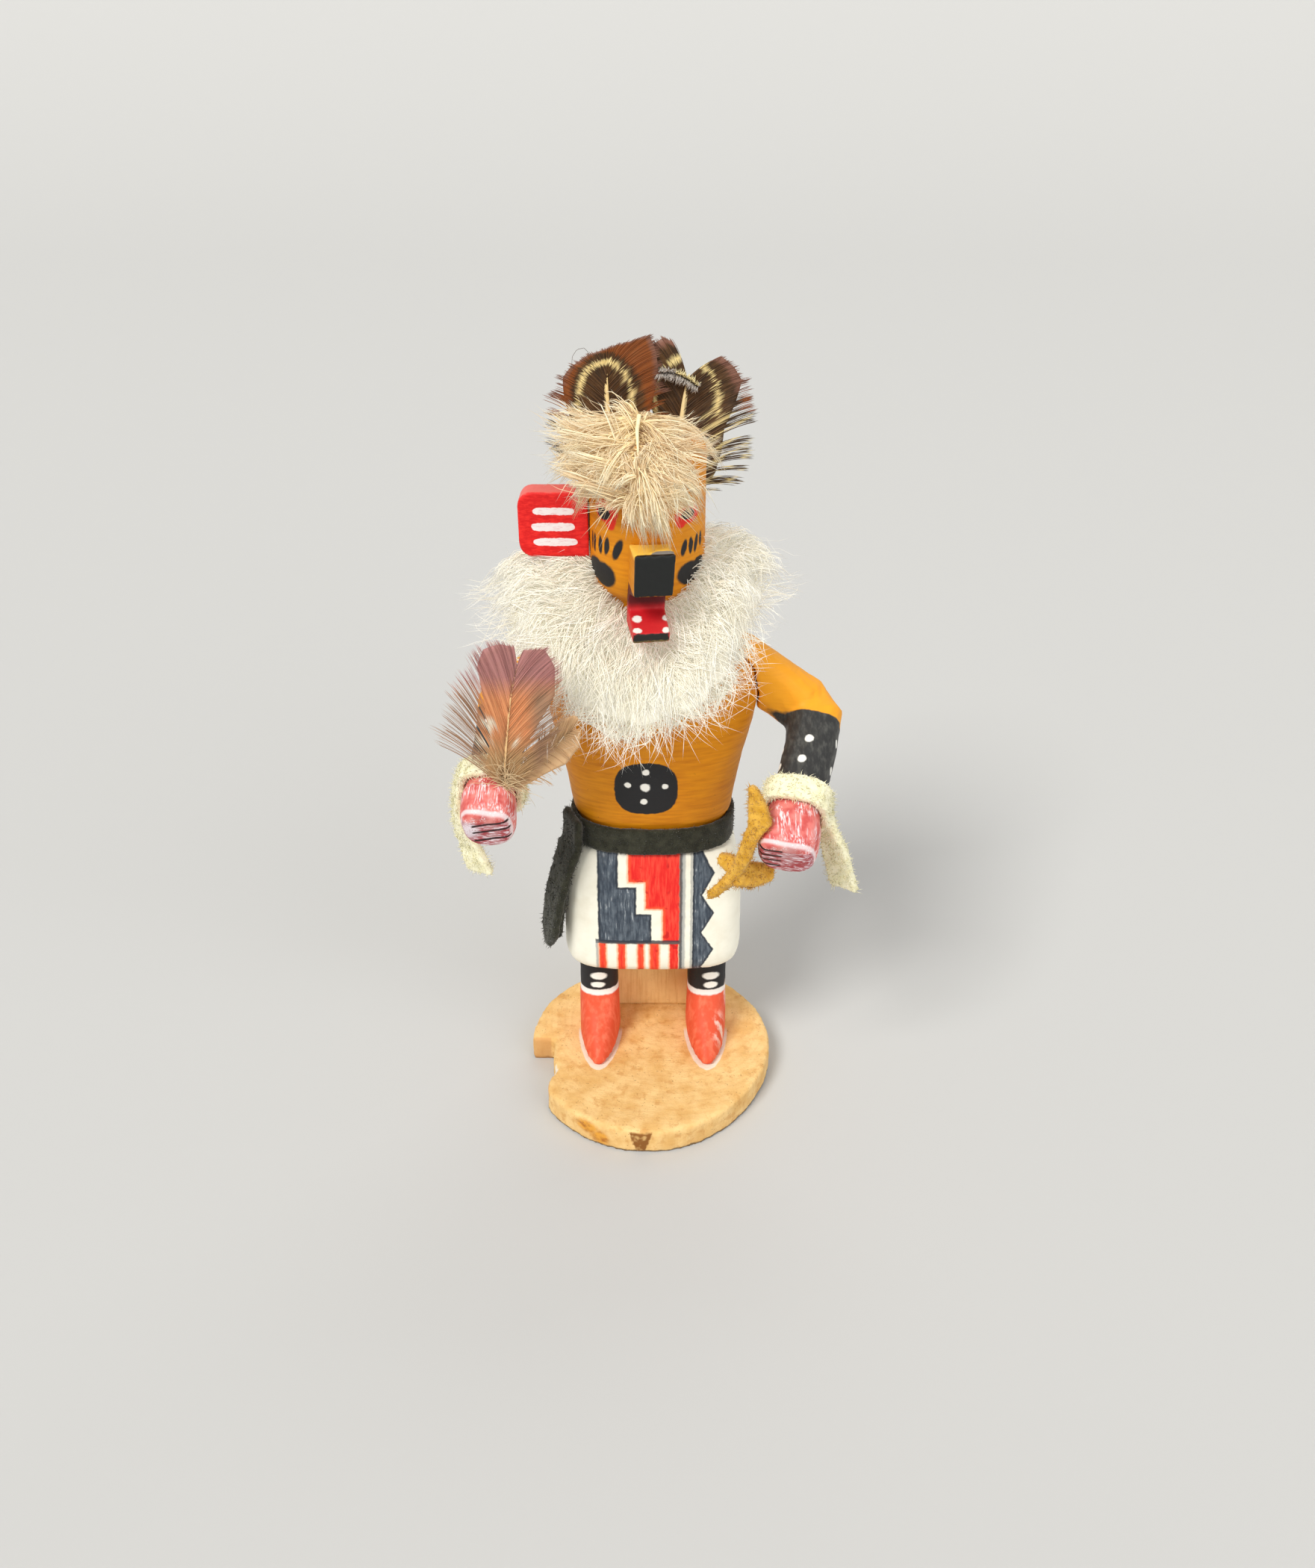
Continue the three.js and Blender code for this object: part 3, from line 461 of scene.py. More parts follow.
block_piece = copy_of("prop_block", "block")
shape(block_piece, "BEVEL", width=0.4 * MM, segments=3)
shape(block_piece, "REMESH", mode="VOXEL", voxel_size=1.0 * MM)
shape(block_piece, "SMOOTH", factor=0.5, iterations=2)
waver(block_piece, 3, 0.2)
bpy.ops.object.shade_smooth()
settle(block_piece, "raw_wood", raw_wood("offcut", False), "prop_block")

# %% [markdown]
# ## Ochre
# Head, chest and upper arms are bare of trim and brushed with thin, matt ochre. It is darker where the brush
# left more, and the strokes run round the form, so the noise is stretched across and squeezed upwards.

# %% Brushed ochre
OCHRE = colour(222, 142, 8)
OCHRE_DARK = colour(198, 116, 2)
BLACK = colour(34, 34, 36)
WHITE = colour(243, 242, 234)


def brushed_ochre(paint):
    """Ochre that was brushed round the form. Gives its colour and its strokes."""
    strokes = paint.noise(1.0, 3, (7, 7, 0.7))
    patches = paint.noise(9, 3)
    base = paint.mix(paint.step(strokes, 0.3, 0.75), OCHRE, OCHRE_DARK)
    base = paint.mix(paint.both(paint.step(patches, 0.35, 0.7), 0.35), base, colour(234, 156, 18))
    specks = paint.step(paint.noise(0.9, 1), 0.77, 0.8)
    return paint.mix(paint.both(specks, 0.5), base, colour(120, 70, 10)), strokes


print("ochre", OCHRE[:3], "down to", OCHRE_DARK[:3])

# %% [markdown]
# ## The face
# Red-rimmed eyes and black paw prints with five claws are painted on the round head. Seen from the front
# they would be squeezed towards the sides, so they are laid out on the head's unrolled surface: along the
# curve, and up. Every mark is an oval, and a leaning claw is an oval in a slanted space.

# %% Face marks
HEAD_MIDDLE = (-0.7, 6.0)
HEAD_RADIUS = 12.45
# An oval's middle, along and up, and its radii.
EYE_RIMS = [
    ((-9.4, 150.2), (3.3, 2.3)),
    ((-8.1, 148.4), (1.4, 2.0)),
    ((9.4, 149.6), (3.6, 1.9)),
    ((7.5, 148.4), (1.4, 1.4)),
]
PUPILS = [((-10.0, 149.6), (1.9, 1.3)), ((9.4, 149.6), (1.9, 1.1))]
PADS = [
    ((-13.5, 136.9), (3.2, 2.5)),
    ((-10.6, 136.1), (3.5, 2.9)),
    ((10.2, 136.7), (3.6, 2.6)),
    ((13.4, 137.9), (2.3, 1.7)),
]
# A claw's middle along, its height, half its length, half its width and how it leans.
CLAWS = [
    (-14.7, 142.8, 2.0, 0.45, 0),
    (-13.5, 142.5, 2.0, 0.5, 0),
    (-11.3, 142.6, 1.95, 0.68, 0),
    (-9.3, 142.7, 2.0, 0.7, 0.17),
    (-6.4, 142.5, 2.3, 1.05, 0.36),
    (8.4, 142.5, 1.75, 0.75, 0.2),
    (10.3, 142.7, 1.8, 0.65, 0),
    (12.1, 142.8, 2.0, 0.7, 0.16),
    (14.0, 143.2, 1.6, 0.6, 0),
]


def face_marks(paint, place, base):
    x, y, z = paint.split(place)
    aside = paint.math("SUBTRACT", x, HEAD_MIDDLE[0])
    turn = paint.math("ARCTAN2", aside, paint.math("SUBTRACT", HEAD_MIDDLE[1], y))
    along = paint.math("MULTIPLY", turn, HEAD_RADIUS)
    unrolled = paint.join(along, 0, z)
    red = paint.most([paint.oval(unrolled, middle, radii, 0.14) for middle, radii in EYE_RIMS])
    base = paint.mix(red, base, colour(226, 44, 26))
    marks = [paint.oval(unrolled, middle, radii, 0.12) for middle, radii in PUPILS + PADS]
    for middle, height, reach, width, lean in CLAWS:
        leaning = paint.math("MULTIPLY", paint.math("SUBTRACT", z, height), lean)
        tilted = paint.math("SUBTRACT", along, leaning)
        marks.append(paint.oval(paint.join(tilted, 0, z), (middle, height), (width, reach), 0.2))
    return paint.mix(paint.most(marks), base, BLACK)


print(len(EYE_RIMS + PUPILS + PADS), "ovals and", len(CLAWS), "claws for the face")

# %% [markdown]
# ## The belly disc
# A black disc with squarish shoulders and five white dots sits over the belt. Raising both distances to a
# power between 2 and 4 gives a form between a circle and a square, as a hand draws it.

# %% Belly disc
DISC_MIDDLE = (-1.1, 86.9)
DISC_RADII = (7.2, 6.9)
DISC_DOTS = [(-1.1, 91.4, 0.8), (-5.3, 88.0, 0.8), (-1.3, 87.4, 1.15), (3.2, 87.7, 0.75), (-1.6, 83.5, 0.8)]


def belly_disc(paint, place, base):
    away = paint.vector("SUBTRACT", place, (DISC_MIDDLE[0], 0, DISC_MIDDLE[1]))
    away = paint.vector("MULTIPLY", away, (1 / DISC_RADII[0], 0, 1 / DISC_RADII[1]))
    x, _, z = paint.split(paint.vector("ABSOLUTE", away))
    rounded = paint.math("ADD", paint.math("POWER", x, 2.7), paint.math("POWER", z, 2.7))
    base = paint.mix(paint.step(rounded, 1.06, 0.94), base, BLACK)
    marks = [paint.oval(place, (x, z), (r, r * 0.95), 0.2) for x, z, r in DISC_DOTS]
    return paint.mix(paint.most(marks), base, WHITE)


print(len(DISC_DOTS), "dots on the belly disc")

# %% [markdown]
# ## The kilt's panel
# The panel is drawn with felt markers over white paint: a slate field and a red one that meet in steps, red
# stripes under them, and a border of slate teeth. Each field is a set of boxes. What counts is how deep a
# place lies in the nearest box, because the same number gives the wavering edge, the darker rim of dried ink
# and the orange bleed round the red.

# %% Slate ink
PANEL_TOP = 72.5
# Boxes as left, right, bottom and top.
SLATE_STEPS = [(-12.8, -7.9, 44.4, PANEL_TOP), (-12.8, -3.6, 44.4, 60.4), (-12.8, 0.0, 44.4, 52.8)]
TEETH_START = 36.5
TOOTH_HEIGHT = 5.4
TEETH_LEFT = 9.9


def slate_ink(paint, x, z, base, streaks):
    slate = paint.most([paint.depth_in_box(x, z, *box) for box in SLATE_STEPS])
    tooth = paint.math("PINGPONG", paint.math("SUBTRACT", z, TEETH_START), TOOTH_HEIGHT)
    reach = paint.math("ADD", 12.1, paint.math("MULTIPLY", tooth, 0.55))
    teeth = paint.math("MINIMUM", paint.math("SUBTRACT", x, TEETH_LEFT), paint.math("SUBTRACT", reach, x))
    slate = paint.math("MAXIMUM", slate, teeth)
    ink = paint.mix(paint.step(streaks, 0.3, 0.7), colour(56, 66, 78), colour(100, 110, 120))
    blotch = paint.step(paint.noise(1.5, 3, (0.7, 1, 1.2)), 0.45, 0.7)
    ink = paint.mix(paint.both(blotch, 0.6), ink, colour(52, 60, 72))
    scraped = paint.both(paint.step(streaks, 0.55, 0.68), paint.step(paint.noise(2.6, 2), 0.5, 0.62))
    ink = paint.mix(paint.both(scraped, 0.7), ink, colour(176, 182, 186))
    rim = paint.both(paint.step(slate, 0.75, 0.3), paint.step(slate, -0.1, 0.1))
    ink = paint.mix(paint.both(rim, 0.8), ink, colour(38, 44, 54))
    return paint.mix(paint.step(slate, -0.2, 0.15), base, ink)


print(len(SLATE_STEPS), "slate steps, teeth every", 2 * TOOTH_HEIGHT, "mm")

# %% Red ink and ruled lines
RED_STEPS = [(-5.5, 6.8, 61.7, PANEL_TOP), (-1.4, 6.8, 54.3, PANEL_TOP), (2.7, 6.8, 44.6, PANEL_TOP)]
STRIPES = [(-12.8, -11.0), (-8.2, -6.3), (-3.4, -1.8), (-0.4, 1.9), (4.4, 6.6)]
STRIPE_ENDS = (34, 44.2)
DARK_LINES = [(-13.6, 7.4, 44.0, 45.2), (6.7, 7.5, 34, PANEL_TOP)]
GREY_LINES = [(7.3, 8.2, 34, PANEL_TOP), (-13.6, -12.9, 34, 44.6), (9.3, 9.9, 34, PANEL_TOP)]


def red_ink(paint, x, z, base, streaks):
    red = paint.most([paint.depth_in_box(x, z, *box) for box in RED_STEPS])
    bars = paint.most([paint.depth_in(x, *stripe) for stripe in STRIPES])
    red = paint.math("MAXIMUM", red, paint.math("MINIMUM", bars, paint.depth_in(z, *STRIPE_ENDS)))
    base = paint.mix(paint.both(paint.step(red, -0.55, -0.1), 0.7), base, colour(255, 172, 122))
    marker = paint.mix(paint.step(streaks, 0.35, 0.72), colour(230, 34, 30), colour(250, 78, 58))
    warm = paint.both(paint.step(red, 1.1, 0.2), paint.step(x, 5, 3))
    marker = paint.mix(paint.both(warm, 0.6), marker, colour(255, 98, 52))
    blots = paint.step(paint.noise(3.0, 1), 0.62, 0.68)
    marker = paint.mix(paint.both(blots, 0.7), marker, colour(186, 16, 20))
    return paint.mix(paint.step(red, -0.1, 0.25), base, marker)


def kilt_panel(paint, place, base):
    x, _, z = paint.split(place)
    streaks = paint.noise(0.55, 3, (0.8, 6, 6))
    base = slate_ink(paint, x, z, base, streaks)
    base = red_ink(paint, x, z, base, streaks)
    dark = paint.most([paint.depth_in_box(x, z, *box) for box in DARK_LINES])
    base = paint.mix(paint.both(paint.step(dark, -0.15, 0.2), 0.9), base, colour(48, 54, 64))
    grey = paint.most([paint.depth_in_box(x, z, *box) for box in GREY_LINES])
    return paint.mix(paint.both(paint.step(grey, -0.2, 0.3), 0.65), base, colour(132, 138, 142))


print(len(STRIPES), "stripes and", len(DARK_LINES + GREY_LINES), "ruled lines")

# %% [markdown]
# ## Stockings and boots
# Black stockings with two white ovals each end in a white band, and the boots below are red. These bands lie
# at fixed heights, so each is one step in height laid over the one above.

# %% Stockings and boots
STOCKING_OVALS = [
    (-13.5, 26.9, 2.1, 1.15),
    (-13.8, 24.1, 1.8, 0.95),
    (15.1, 26.9, 2.1, 1.15),
    (15.2, 24.0, 1.8, 0.95),
]


def legs_and_boots(paint, place, base):
    _, y, z = paint.split(place)
    base = paint.mix(paint.step(z, 34.9, 34.5), base, BLACK)
    marks = paint.most([paint.oval(place, (a, b), (c, d), 0.2) for a, b, c, d in STOCKING_OVALS])
    base = paint.mix(paint.both(marks, paint.step(y, 3, 1)), base, WHITE)
    base = paint.mix(paint.step(z, 22.7, 22.3), base, colour(238, 232, 226))
    smear = paint.noise(1.5, 3, (1, 1, 3))
    boot = paint.mix(paint.step(smear, 0.42, 0.75), colour(222, 84, 52), colour(238, 118, 86))
    base = paint.mix(paint.step(z, 21.2, 20.7), base, boot)
    drip = paint.ball(place, (19.6, 3.0, 19.5), (1.1, 2.0, 4.6), 0.3)
    drip = paint.both(drip, paint.step(smear, 0.3, 0.55))
    scuff = paint.ball(place, (17.4, -3.5, 12.0), (2.2, 3.5, 4.0), 0.6)
    scuff = paint.both(scuff, paint.step(smear, 0.45, 0.65))
    return paint.mix(paint.both(paint.most([drip, scuff]), 0.8), base, colour(244, 226, 214))


print(len(STOCKING_OVALS), "ovals on the stockings")

# %% [markdown]
# ## The carved figure
# One block of wood holds the boots, legs, kilt, chest, neck and head. Its paint is put together from the
# parts above, each kept to its own height. The marks of the chest and kilt stay on the front, and the back
# is plain. A little grain shows through the paint as relief.

# %% The figure
NECK = (118, 117)
CHEST_TOP = (98, 97)
BELT_LINE = (73.2, 72.8)
KILT_HEM = (35.4, 35.0)


def figure_paint():
    paint = PaintBox("figure_paint", roughness=0.55, specular=0.3)
    place = paint.wobbled(1.5, 0.28)
    _, y, z = paint.split(place)
    front = paint.step(y, 3, 1)
    ochre, strokes = brushed_ochre(paint)
    base = face_marks(paint, place, ochre)
    upper = belly_disc(paint, place, ochre)
    upper = paint.mix(paint.both(front, paint.step(z, *CHEST_TOP)), ochre, upper)
    base = paint.mix(paint.step(z, *NECK), base, upper)
    cloth = paint.noise(4.5, 5)
    kilt = paint.mix(paint.step(cloth, 0.35, 0.85), colour(247, 244, 228), colour(236, 231, 212))
    kilt = paint.mix(front, kilt, kilt_panel(paint, place, kilt))
    base = paint.mix(paint.step(z, *BELT_LINE), base, kilt)
    legs = legs_and_boots(paint, place, kilt)
    base = paint.mix(paint.step(z, *KILT_HEM), base, legs)
    grain = paint.noise(0.35, 2, (1, 1, 8))
    relief = paint.math("ADD", paint.math("MULTIPLY", strokes, 0.7), paint.math("MULTIPLY", grain, 0.4))
    paint.bump(relief, 0.45, 0.12)
    return paint.finish(base)


figure = copy_of("carved_figure", "figure")
carve(figure, 0.86, 3, (5.0, 0.3))
settle(figure, "ochre_paint", figure_paint(), "carved_figure")

# %% [markdown]
# ## Snout
# A strip of wood with a sawn mouth is glued on the face. Its front is black and rubbed at the top edge, and
# its top is a lighter ochre, painted light where the plume shades it. The mouth is red with painted shade
# deeper inside, and four white teeth sit on the lower jaw. The head is turned a little, so depth is measured
# along the way that the snout points.

# %% Snout
HEAD_TURN = math.radians(8)
FORWARD = (math.sin(HEAD_TURN), -math.cos(HEAD_TURN), 0)
TEETH = [
    ((-2.7, -11.1, 130.2), (1.05, 1.35, 1.3)),
    ((3.3, -10.4, 130.2), (0.85, 1.1, 1.2)),
    ((-2.6, -15.2, 129.0), (0.95, 1.0, 1.0)),
    ((3.3, -14.6, 129.0), (0.8, 1.0, 0.9)),
]


def snout_paint():
    paint = PaintBox("snout_paint", roughness=0.5, specular=0.35)
    place = paint.wobbled(1.1, 0.35)
    _, _, z = paint.split(place)
    ahead = paint.vector("DOT_PRODUCT", paint.vector("SUBTRACT", place, (*HEAD_MIDDLE, 0)), FORWARD)
    ochre, strokes = brushed_ochre(paint)
    # Painted light: the top face is a lighter ochre, so that it looks lit though the plume shades it.
    base = paint.mix(paint.step(z, 143.7, 144.1), ochre, colour(255, 208, 88))
    black = paint.both(paint.step(ahead, 20.7, 21.1), paint.step(z, 136.4, 136.7))
    worn = paint.ball(paint.wobbled(0.9, 0.8), (3.3, -14.6, 145), (2.9, 2.6, 2), 0.1)
    base = paint.mix(paint.both(worn, paint.step(z, 144.0, 144.4)), base, colour(134, 138, 136))
    base = paint.mix(black, base, colour(20, 22, 21))
    mouth = paint.both(paint.step(z, 136.5, 136.2), paint.step(z, 126, 126.4))
    # Painted shade: the red darkens upwards, deep inside the mouth.
    inner = paint.mix(paint.step(z, 130.3, 132.4), colour(200, 26, 34), colour(88, 4, 10))
    red = paint.mix(paint.step(z, 129.9, 129.3), inner, colour(206, 38, 42))
    base = paint.mix(mouth, base, red)
    base = paint.mix(paint.most([paint.ball(place, *tooth, 0.2) for tooth in TEETH]), base, WHITE)
    lip = paint.mix(paint.step(z, 127.2, 126.8), colour(30, 28, 24), colour(112, 92, 50))
    front_edge = paint.both(paint.step(ahead, 21.7, 21.9), paint.step(z, 128.7, 128.4))
    base = paint.mix(front_edge, base, lip)
    paint.bump(strokes, 0.4, 0.1)
    return paint.finish(base)


snout = sawn("snout", "snout_block", bevel=0.18, angle=40, voxel=0.34, smooth=1, wave=(1.5, 0.12))
settle(snout, "black_paint", snout_paint(), "snout")

# %% [markdown]
# ## Ear board
# A flat board, red all over and paler on its sawn rim, with three white brush strokes. A stroke has almost
# straight sides and blunt ends, so it is a box whose distances are raised to high powers, more so
# lengthwise.

# %% Ear board
# A stroke's middle across and up, half its length and half its width.
EAR_STROKES = [(-20.4, 148.2, 4.4, 0.8), (-20.6, 144.8, 4.6, 0.92), (-20.2, 141.5, 4.7, 0.85)]


def ear_paint():
    paint = PaintBox("ear_paint", roughness=0.5, specular=0.35)
    place = paint.wobbled(1.0, 0.22)
    _, y, _ = paint.split(place)
    nap = paint.noise(0.55, 3, (2.5, 1, 0.8))
    base = paint.mix(paint.step(nap, 0.35, 0.7), colour(214, 14, 16), colour(238, 40, 34))
    pale = paint.mix(nap, colour(226, 84, 76), colour(238, 116, 104))
    base = paint.mix(paint.step(y, 3.1, 3.4), base, pale)
    marks = []
    for across, up, reach, thick in EAR_STROKES:
        away = paint.vector("SUBTRACT", place, (across, 0, up))
        share = paint.vector("ABSOLUTE", paint.vector("MULTIPLY", away, (1 / reach, 0, 1 / thick)))
        lengthwise, _, crosswise = paint.split(share)
        rounded = paint.math("ADD", paint.math("POWER", lengthwise, 6), paint.math("POWER", crosswise, 2.4))
        marks.append(paint.step(rounded, 1.1, 0.85))
    front = paint.step(y, 3.35, 3.15)
    thin = paint.mix(paint.step(nap, 0.5, 0.75), colour(244, 236, 236), colour(236, 206, 208))
    base = paint.mix(paint.both(paint.most(marks), front), base, thin)
    paint.bump(nap, 0.5, 0.1)
    return paint.finish(base)


ear = sawn("ear_board", "ear", bevel=0.25, angle=50, voxel=0.4, smooth=2, wave=(2, 0.1))
settle(ear, "red_paint", ear_paint(), "ear_board")

# %% [markdown]
# ## Fists
# The fists are red under a dry white brush. A pale ridge crosses each of them, and below it the wood is
# darker and crackled, with three or four saw cuts for the fingers. The cuts are drawn as dark lines, painted
# shade in the grooves. The arms point in different directions, so the paint is laid out in the fist's own
# space: ahead along the forearm, across, and up through the fingers.

# %% Fist paint
def brushed_fist(paint, place, towards, fist, finger_rows, finger_up, finger_reach, slope, pale_patch):
    """Gives the fist's colour and its dry streaks. slope is how the cuts rise from left to right."""
    from_fist = paint.vector("SUBTRACT", paint.place, fist)
    ahead = paint.vector("DOT_PRODUCT", from_fist, towards)
    height = paint.vector("DOT_PRODUCT", from_fist, finger_up)
    across, _, _ = paint.split(from_fist)
    local = paint.join(ahead, across, height)
    dry = paint.noise(0.3, 3, (9, 1, 1), vector=local)
    patch = paint.noise(2.6, 2)
    skin = paint.mix(paint.step(patch, 0.35, 0.65), colour(206, 86, 82), colour(232, 132, 124))
    loaded = paint.step(paint.noise(2.0, 2, (2, 1, 1), vector=local), 0.42, 0.62)
    rubbed = paint.both(paint.step(dry, 0.46, 0.6), loaded)
    skin = paint.mix(paint.both(rubbed, 0.9), skin, colour(248, 238, 242))
    crosswise = paint.noise(0.3, 3, (1, 7, 1), vector=local)
    crackle = paint.mix(paint.step(crosswise, 0.5, 0.62), colour(172, 70, 76), colour(240, 222, 230))
    below_ridge = paint.both(paint.step(ahead, -1.9, -1.1), paint.step(height, 3.4, 2.6))
    skin = paint.mix(below_ridge, skin, crackle)
    bend = paint.math("MULTIPLY", paint.math("POWER", paint.math("ABSOLUTE", across), 2), 0.03)
    ridge = paint.step(paint.depth_in(paint.math("ADD", ahead, bend), -0.9, -0.1), -0.2, 0.25)
    skin = paint.mix(paint.both(ridge, 0.7), skin, colour(250, 240, 242))
    pale = paint.both(paint.ball(place, pale_patch, (2.4, 3.4, 3.2), 0.35), paint.step(dry, 0.3, 0.44))
    skin = paint.mix(paint.both(pale, 0.85), skin, colour(246, 238, 246))
    rising = paint.math("SUBTRACT", height, paint.math("MULTIPLY", across, slope))
    # Painted shade: dark lines where the saw cuts between the fingers lie.
    cuts = [paint.step(paint.depth_in(rising, row - 0.3, row + 0.3), -0.12, 0.06) for row in finger_rows]
    reached = paint.step(paint.depth_in(across, *finger_reach), -0.1, 0.4)
    reached = paint.both(paint.step(ahead, -1.5, -0.9), reached)
    return paint.mix(paint.both(paint.most(cuts), reached), skin, colour(50, 18, 22)), dry


print("a fist's paint follows its forearm")

# %% [markdown]
# ## Arms
# The upper arm is bare ochre, mixed lighter than the chest's: painted light, a lit copy of the same paint.
# From the elbow on, the paint is charcoal with white dots, and the fist starts under the cuff. A dot is laid
# on the nearest point of the carved surface, so it can't float beside it. The right arm is mostly hidden on
# the doll, so it gets the same finish as the left one.

# %% Arms
# elbow and wrist are points where the paint changes, and towards is the direction of the forearm.
LEFT_ARM = {
    "elbow": (36.6, -1.2, 101.4),
    "towards": (-0.219, -0.845, -0.488),
    "wrist": (31.4, -20.6, 87.6),
    "dots": [
        (34.9, -9.5, 101.3),
        (33.3, -13, 97.1),
        (41.7, -7, 98.1),
        (40, -12, 93.9),
        (29.5, -8, 96.5),
        (28.1, -12, 95),
        (38, -6, 88),
    ],
    "fist": (28.8, -29.5, 82.1),
    "finger_rows": (-3.0, -1.0, 1.0, 3.0),
    "finger_up": (-0.11, -0.48, 0.87),
    "finger_reach": (-6.0, -0.6),
    "slope": -0.05,
    "pale_patch": (29.9, -26.0, 86.4),
}
RIGHT_ARM = {
    "elbow": (-33.1, -1.6, 102.2),
    "towards": (-0.077, -0.913, -0.4),
    "wrist": (-34.5, -21.2, 93.2),
    "dots": [
        (-36, -9, 107),
        (-34.5, -14, 104),
        (-40, -8, 101),
        (-40, -14, 97),
        (-28, -8, 100),
        (-28.5, -13, 98),
        (-34, -8, 90),
    ],
    "fist": (-34.4, -29.5, 89.2),
    "finger_rows": (-2.9, 0.1, 2.4),
    "finger_up": (-0.03, -0.4, 0.915),
    "finger_reach": (-3.4, 5.2),
    "slope": 0.2,
    "pale_patch": (-38.4, -31.4, 88.6),
}


def arm_paint(name, piece, elbow, towards, wrist, dots, **fist):
    paint = PaintBox(name, roughness=0.55, specular=0.3)
    place = paint.wobbled(1.4, 0.25)
    base, strokes = brushed_ochre(paint)
    # Painted light: the arm's ochre is a lighter copy of the chest's.
    base = paint.mix(0.7, base, colour(252, 172, 38))
    past_elbow = paint.vector("DOT_PRODUCT", paint.vector("SUBTRACT", place, elbow), towards)
    worn = paint.noise(0.9, 3, (1, 3, 2))
    charcoal = paint.mix(paint.step(worn, 0.4, 0.8), colour(48, 48, 48), colour(84, 84, 80))
    base = paint.mix(paint.step(past_elbow, -0.2, 0.2), base, charcoal)
    marks = []
    for dot in dots:
        _, point, _, _ = piece.closest_point_on_mesh(Vector(dot) * MM)
        marks.append(paint.ball(place, point / MM, 0.95, 0.2))
    base = paint.mix(paint.most(marks), base, WHITE)
    past_wrist = paint.vector("DOT_PRODUCT", paint.vector("SUBTRACT", place, wrist), towards)
    skin, dry = brushed_fist(paint, place, towards, **fist)
    base = paint.mix(paint.step(past_wrist, -2.2, -1.8), base, skin)
    paint.bump(paint.math("ADD", strokes, paint.math("MULTIPLY", dry, 0.4)), 0.4, 0.1)
    return paint.finish(base)


for side, details in (("left", LEFT_ARM), ("right", RIGHT_ARM)):
    arm = copy_of("arm_" + side, side + "_arm")
    carve(arm, 0.46, 8, (3.0, 0.25))
    settle(arm, "ochre_paint", arm_paint(side + "_arm_paint", arm, **details), "arm_" + side)

# %% [markdown]
# ## Strands
# Fur, down and the nap of suede are all strands. Blender's own hair doesn't leave the program as a mesh, so
# a strand here is a closed thread with three sides that runs out to a point. Thousands are built at once
# from arrays: a path for each strand, a radius and a tint at each step of the path.

# %% Building strands
SIDES = 3


def unit(vectors):
    return vectors / np.maximum(np.linalg.norm(vectors, axis=-1, keepdims=True), 1e-9)


def strands(name, paths, radii, tints):
    """paths is strands x steps x 3, radii strands x steps, tints strands x steps x 3. All in millimetres."""
    count, steps, _ = paths.shape
    along = unit(np.gradient(paths, axis=1))
    across = unit(np.cross(along, unit(random.normal(size=(count, 1, 3)))))
    third = np.cross(along, across)
    turns = (np.arange(SIDES) * 2 * math.pi / SIDES)[:, None]
    around = np.cos(turns) * across[:, :-1, None, :] + np.sin(turns) * third[:, :-1, None, :]
    rings = paths[:, :-1, None, :] + radii[:, :-1, None, None] * around
    points = np.concatenate([rings.reshape(count, -1, 3), paths[:, -1:, :]], axis=1)
    shades = np.concatenate([np.repeat(tints[:, :-1], SIDES, axis=1), tints[:, -1:]], axis=1)
    quads = []
    for row in range(0, (steps - 2) * SIDES, SIDES):
        for i in range(SIDES):
            j = (i + 1) % SIDES
            quads.append([row + i, row + j, row + SIDES + j, row + SIDES + i])
    last, tip = (steps - 2) * SIDES, (steps - 1) * SIDES
    ends = [[last + i, last + (i + 1) % SIDES, tip] for i in range(SIDES)] + [[0, 2, 1]]
    each = points.shape[1]
    shift = np.arange(count)[:, None, None] * each
    quad_loops = (np.array(quads)[None] + shift).reshape(-1)
    end_loops = (np.array(ends)[None] + shift).reshape(-1)
    mesh = bpy.data.meshes.new(name)
    mesh.vertices.add(count * each)
    mesh.vertices.foreach_set("co", (points.reshape(-1) * MM).astype(np.float32))
    mesh.loops.add(len(quad_loops) + len(end_loops))
    mesh.loops.foreach_set("vertex_index", np.concatenate([quad_loops, end_loops]).astype(np.int32))
    end_starts = len(quad_loops) + np.arange(len(end_loops) // 3) * 3
    starts = np.concatenate([np.arange(len(quad_loops) // 4) * 4, end_starts])
    mesh.polygons.add(len(starts))
    mesh.polygons.foreach_set("loop_start", starts.astype(np.int32))
    mesh.update(calc_edges=True)
    tint = mesh.color_attributes.new("tint", "FLOAT_COLOR", "POINT")
    opaque = np.ones((count * each, 4), np.float32)
    opaque[:, :3] = shades.reshape(-1, 3)
    tint.data.foreach_set("color", opaque.reshape(-1))
    mesh.polygons.foreach_set("use_smooth", np.ones(len(starts), bool))
    piece = bpy.data.objects.new(name, mesh)
    bpy.context.scene.collection.objects.link(piece)
    return piece


print("a strand has", SIDES, "sides and runs out to a point")

# %% [markdown]
# ## The finish of strands
# Hair is pale at the tip and darker at the root, and feathers are banded. A tint is therefore laid on each
# step of each strand, and one material reads it for all strands of a kind. Soft hair scatters light, which a
# little sheen and glow stand in for, and broad noise lays painted shade over it in patches.

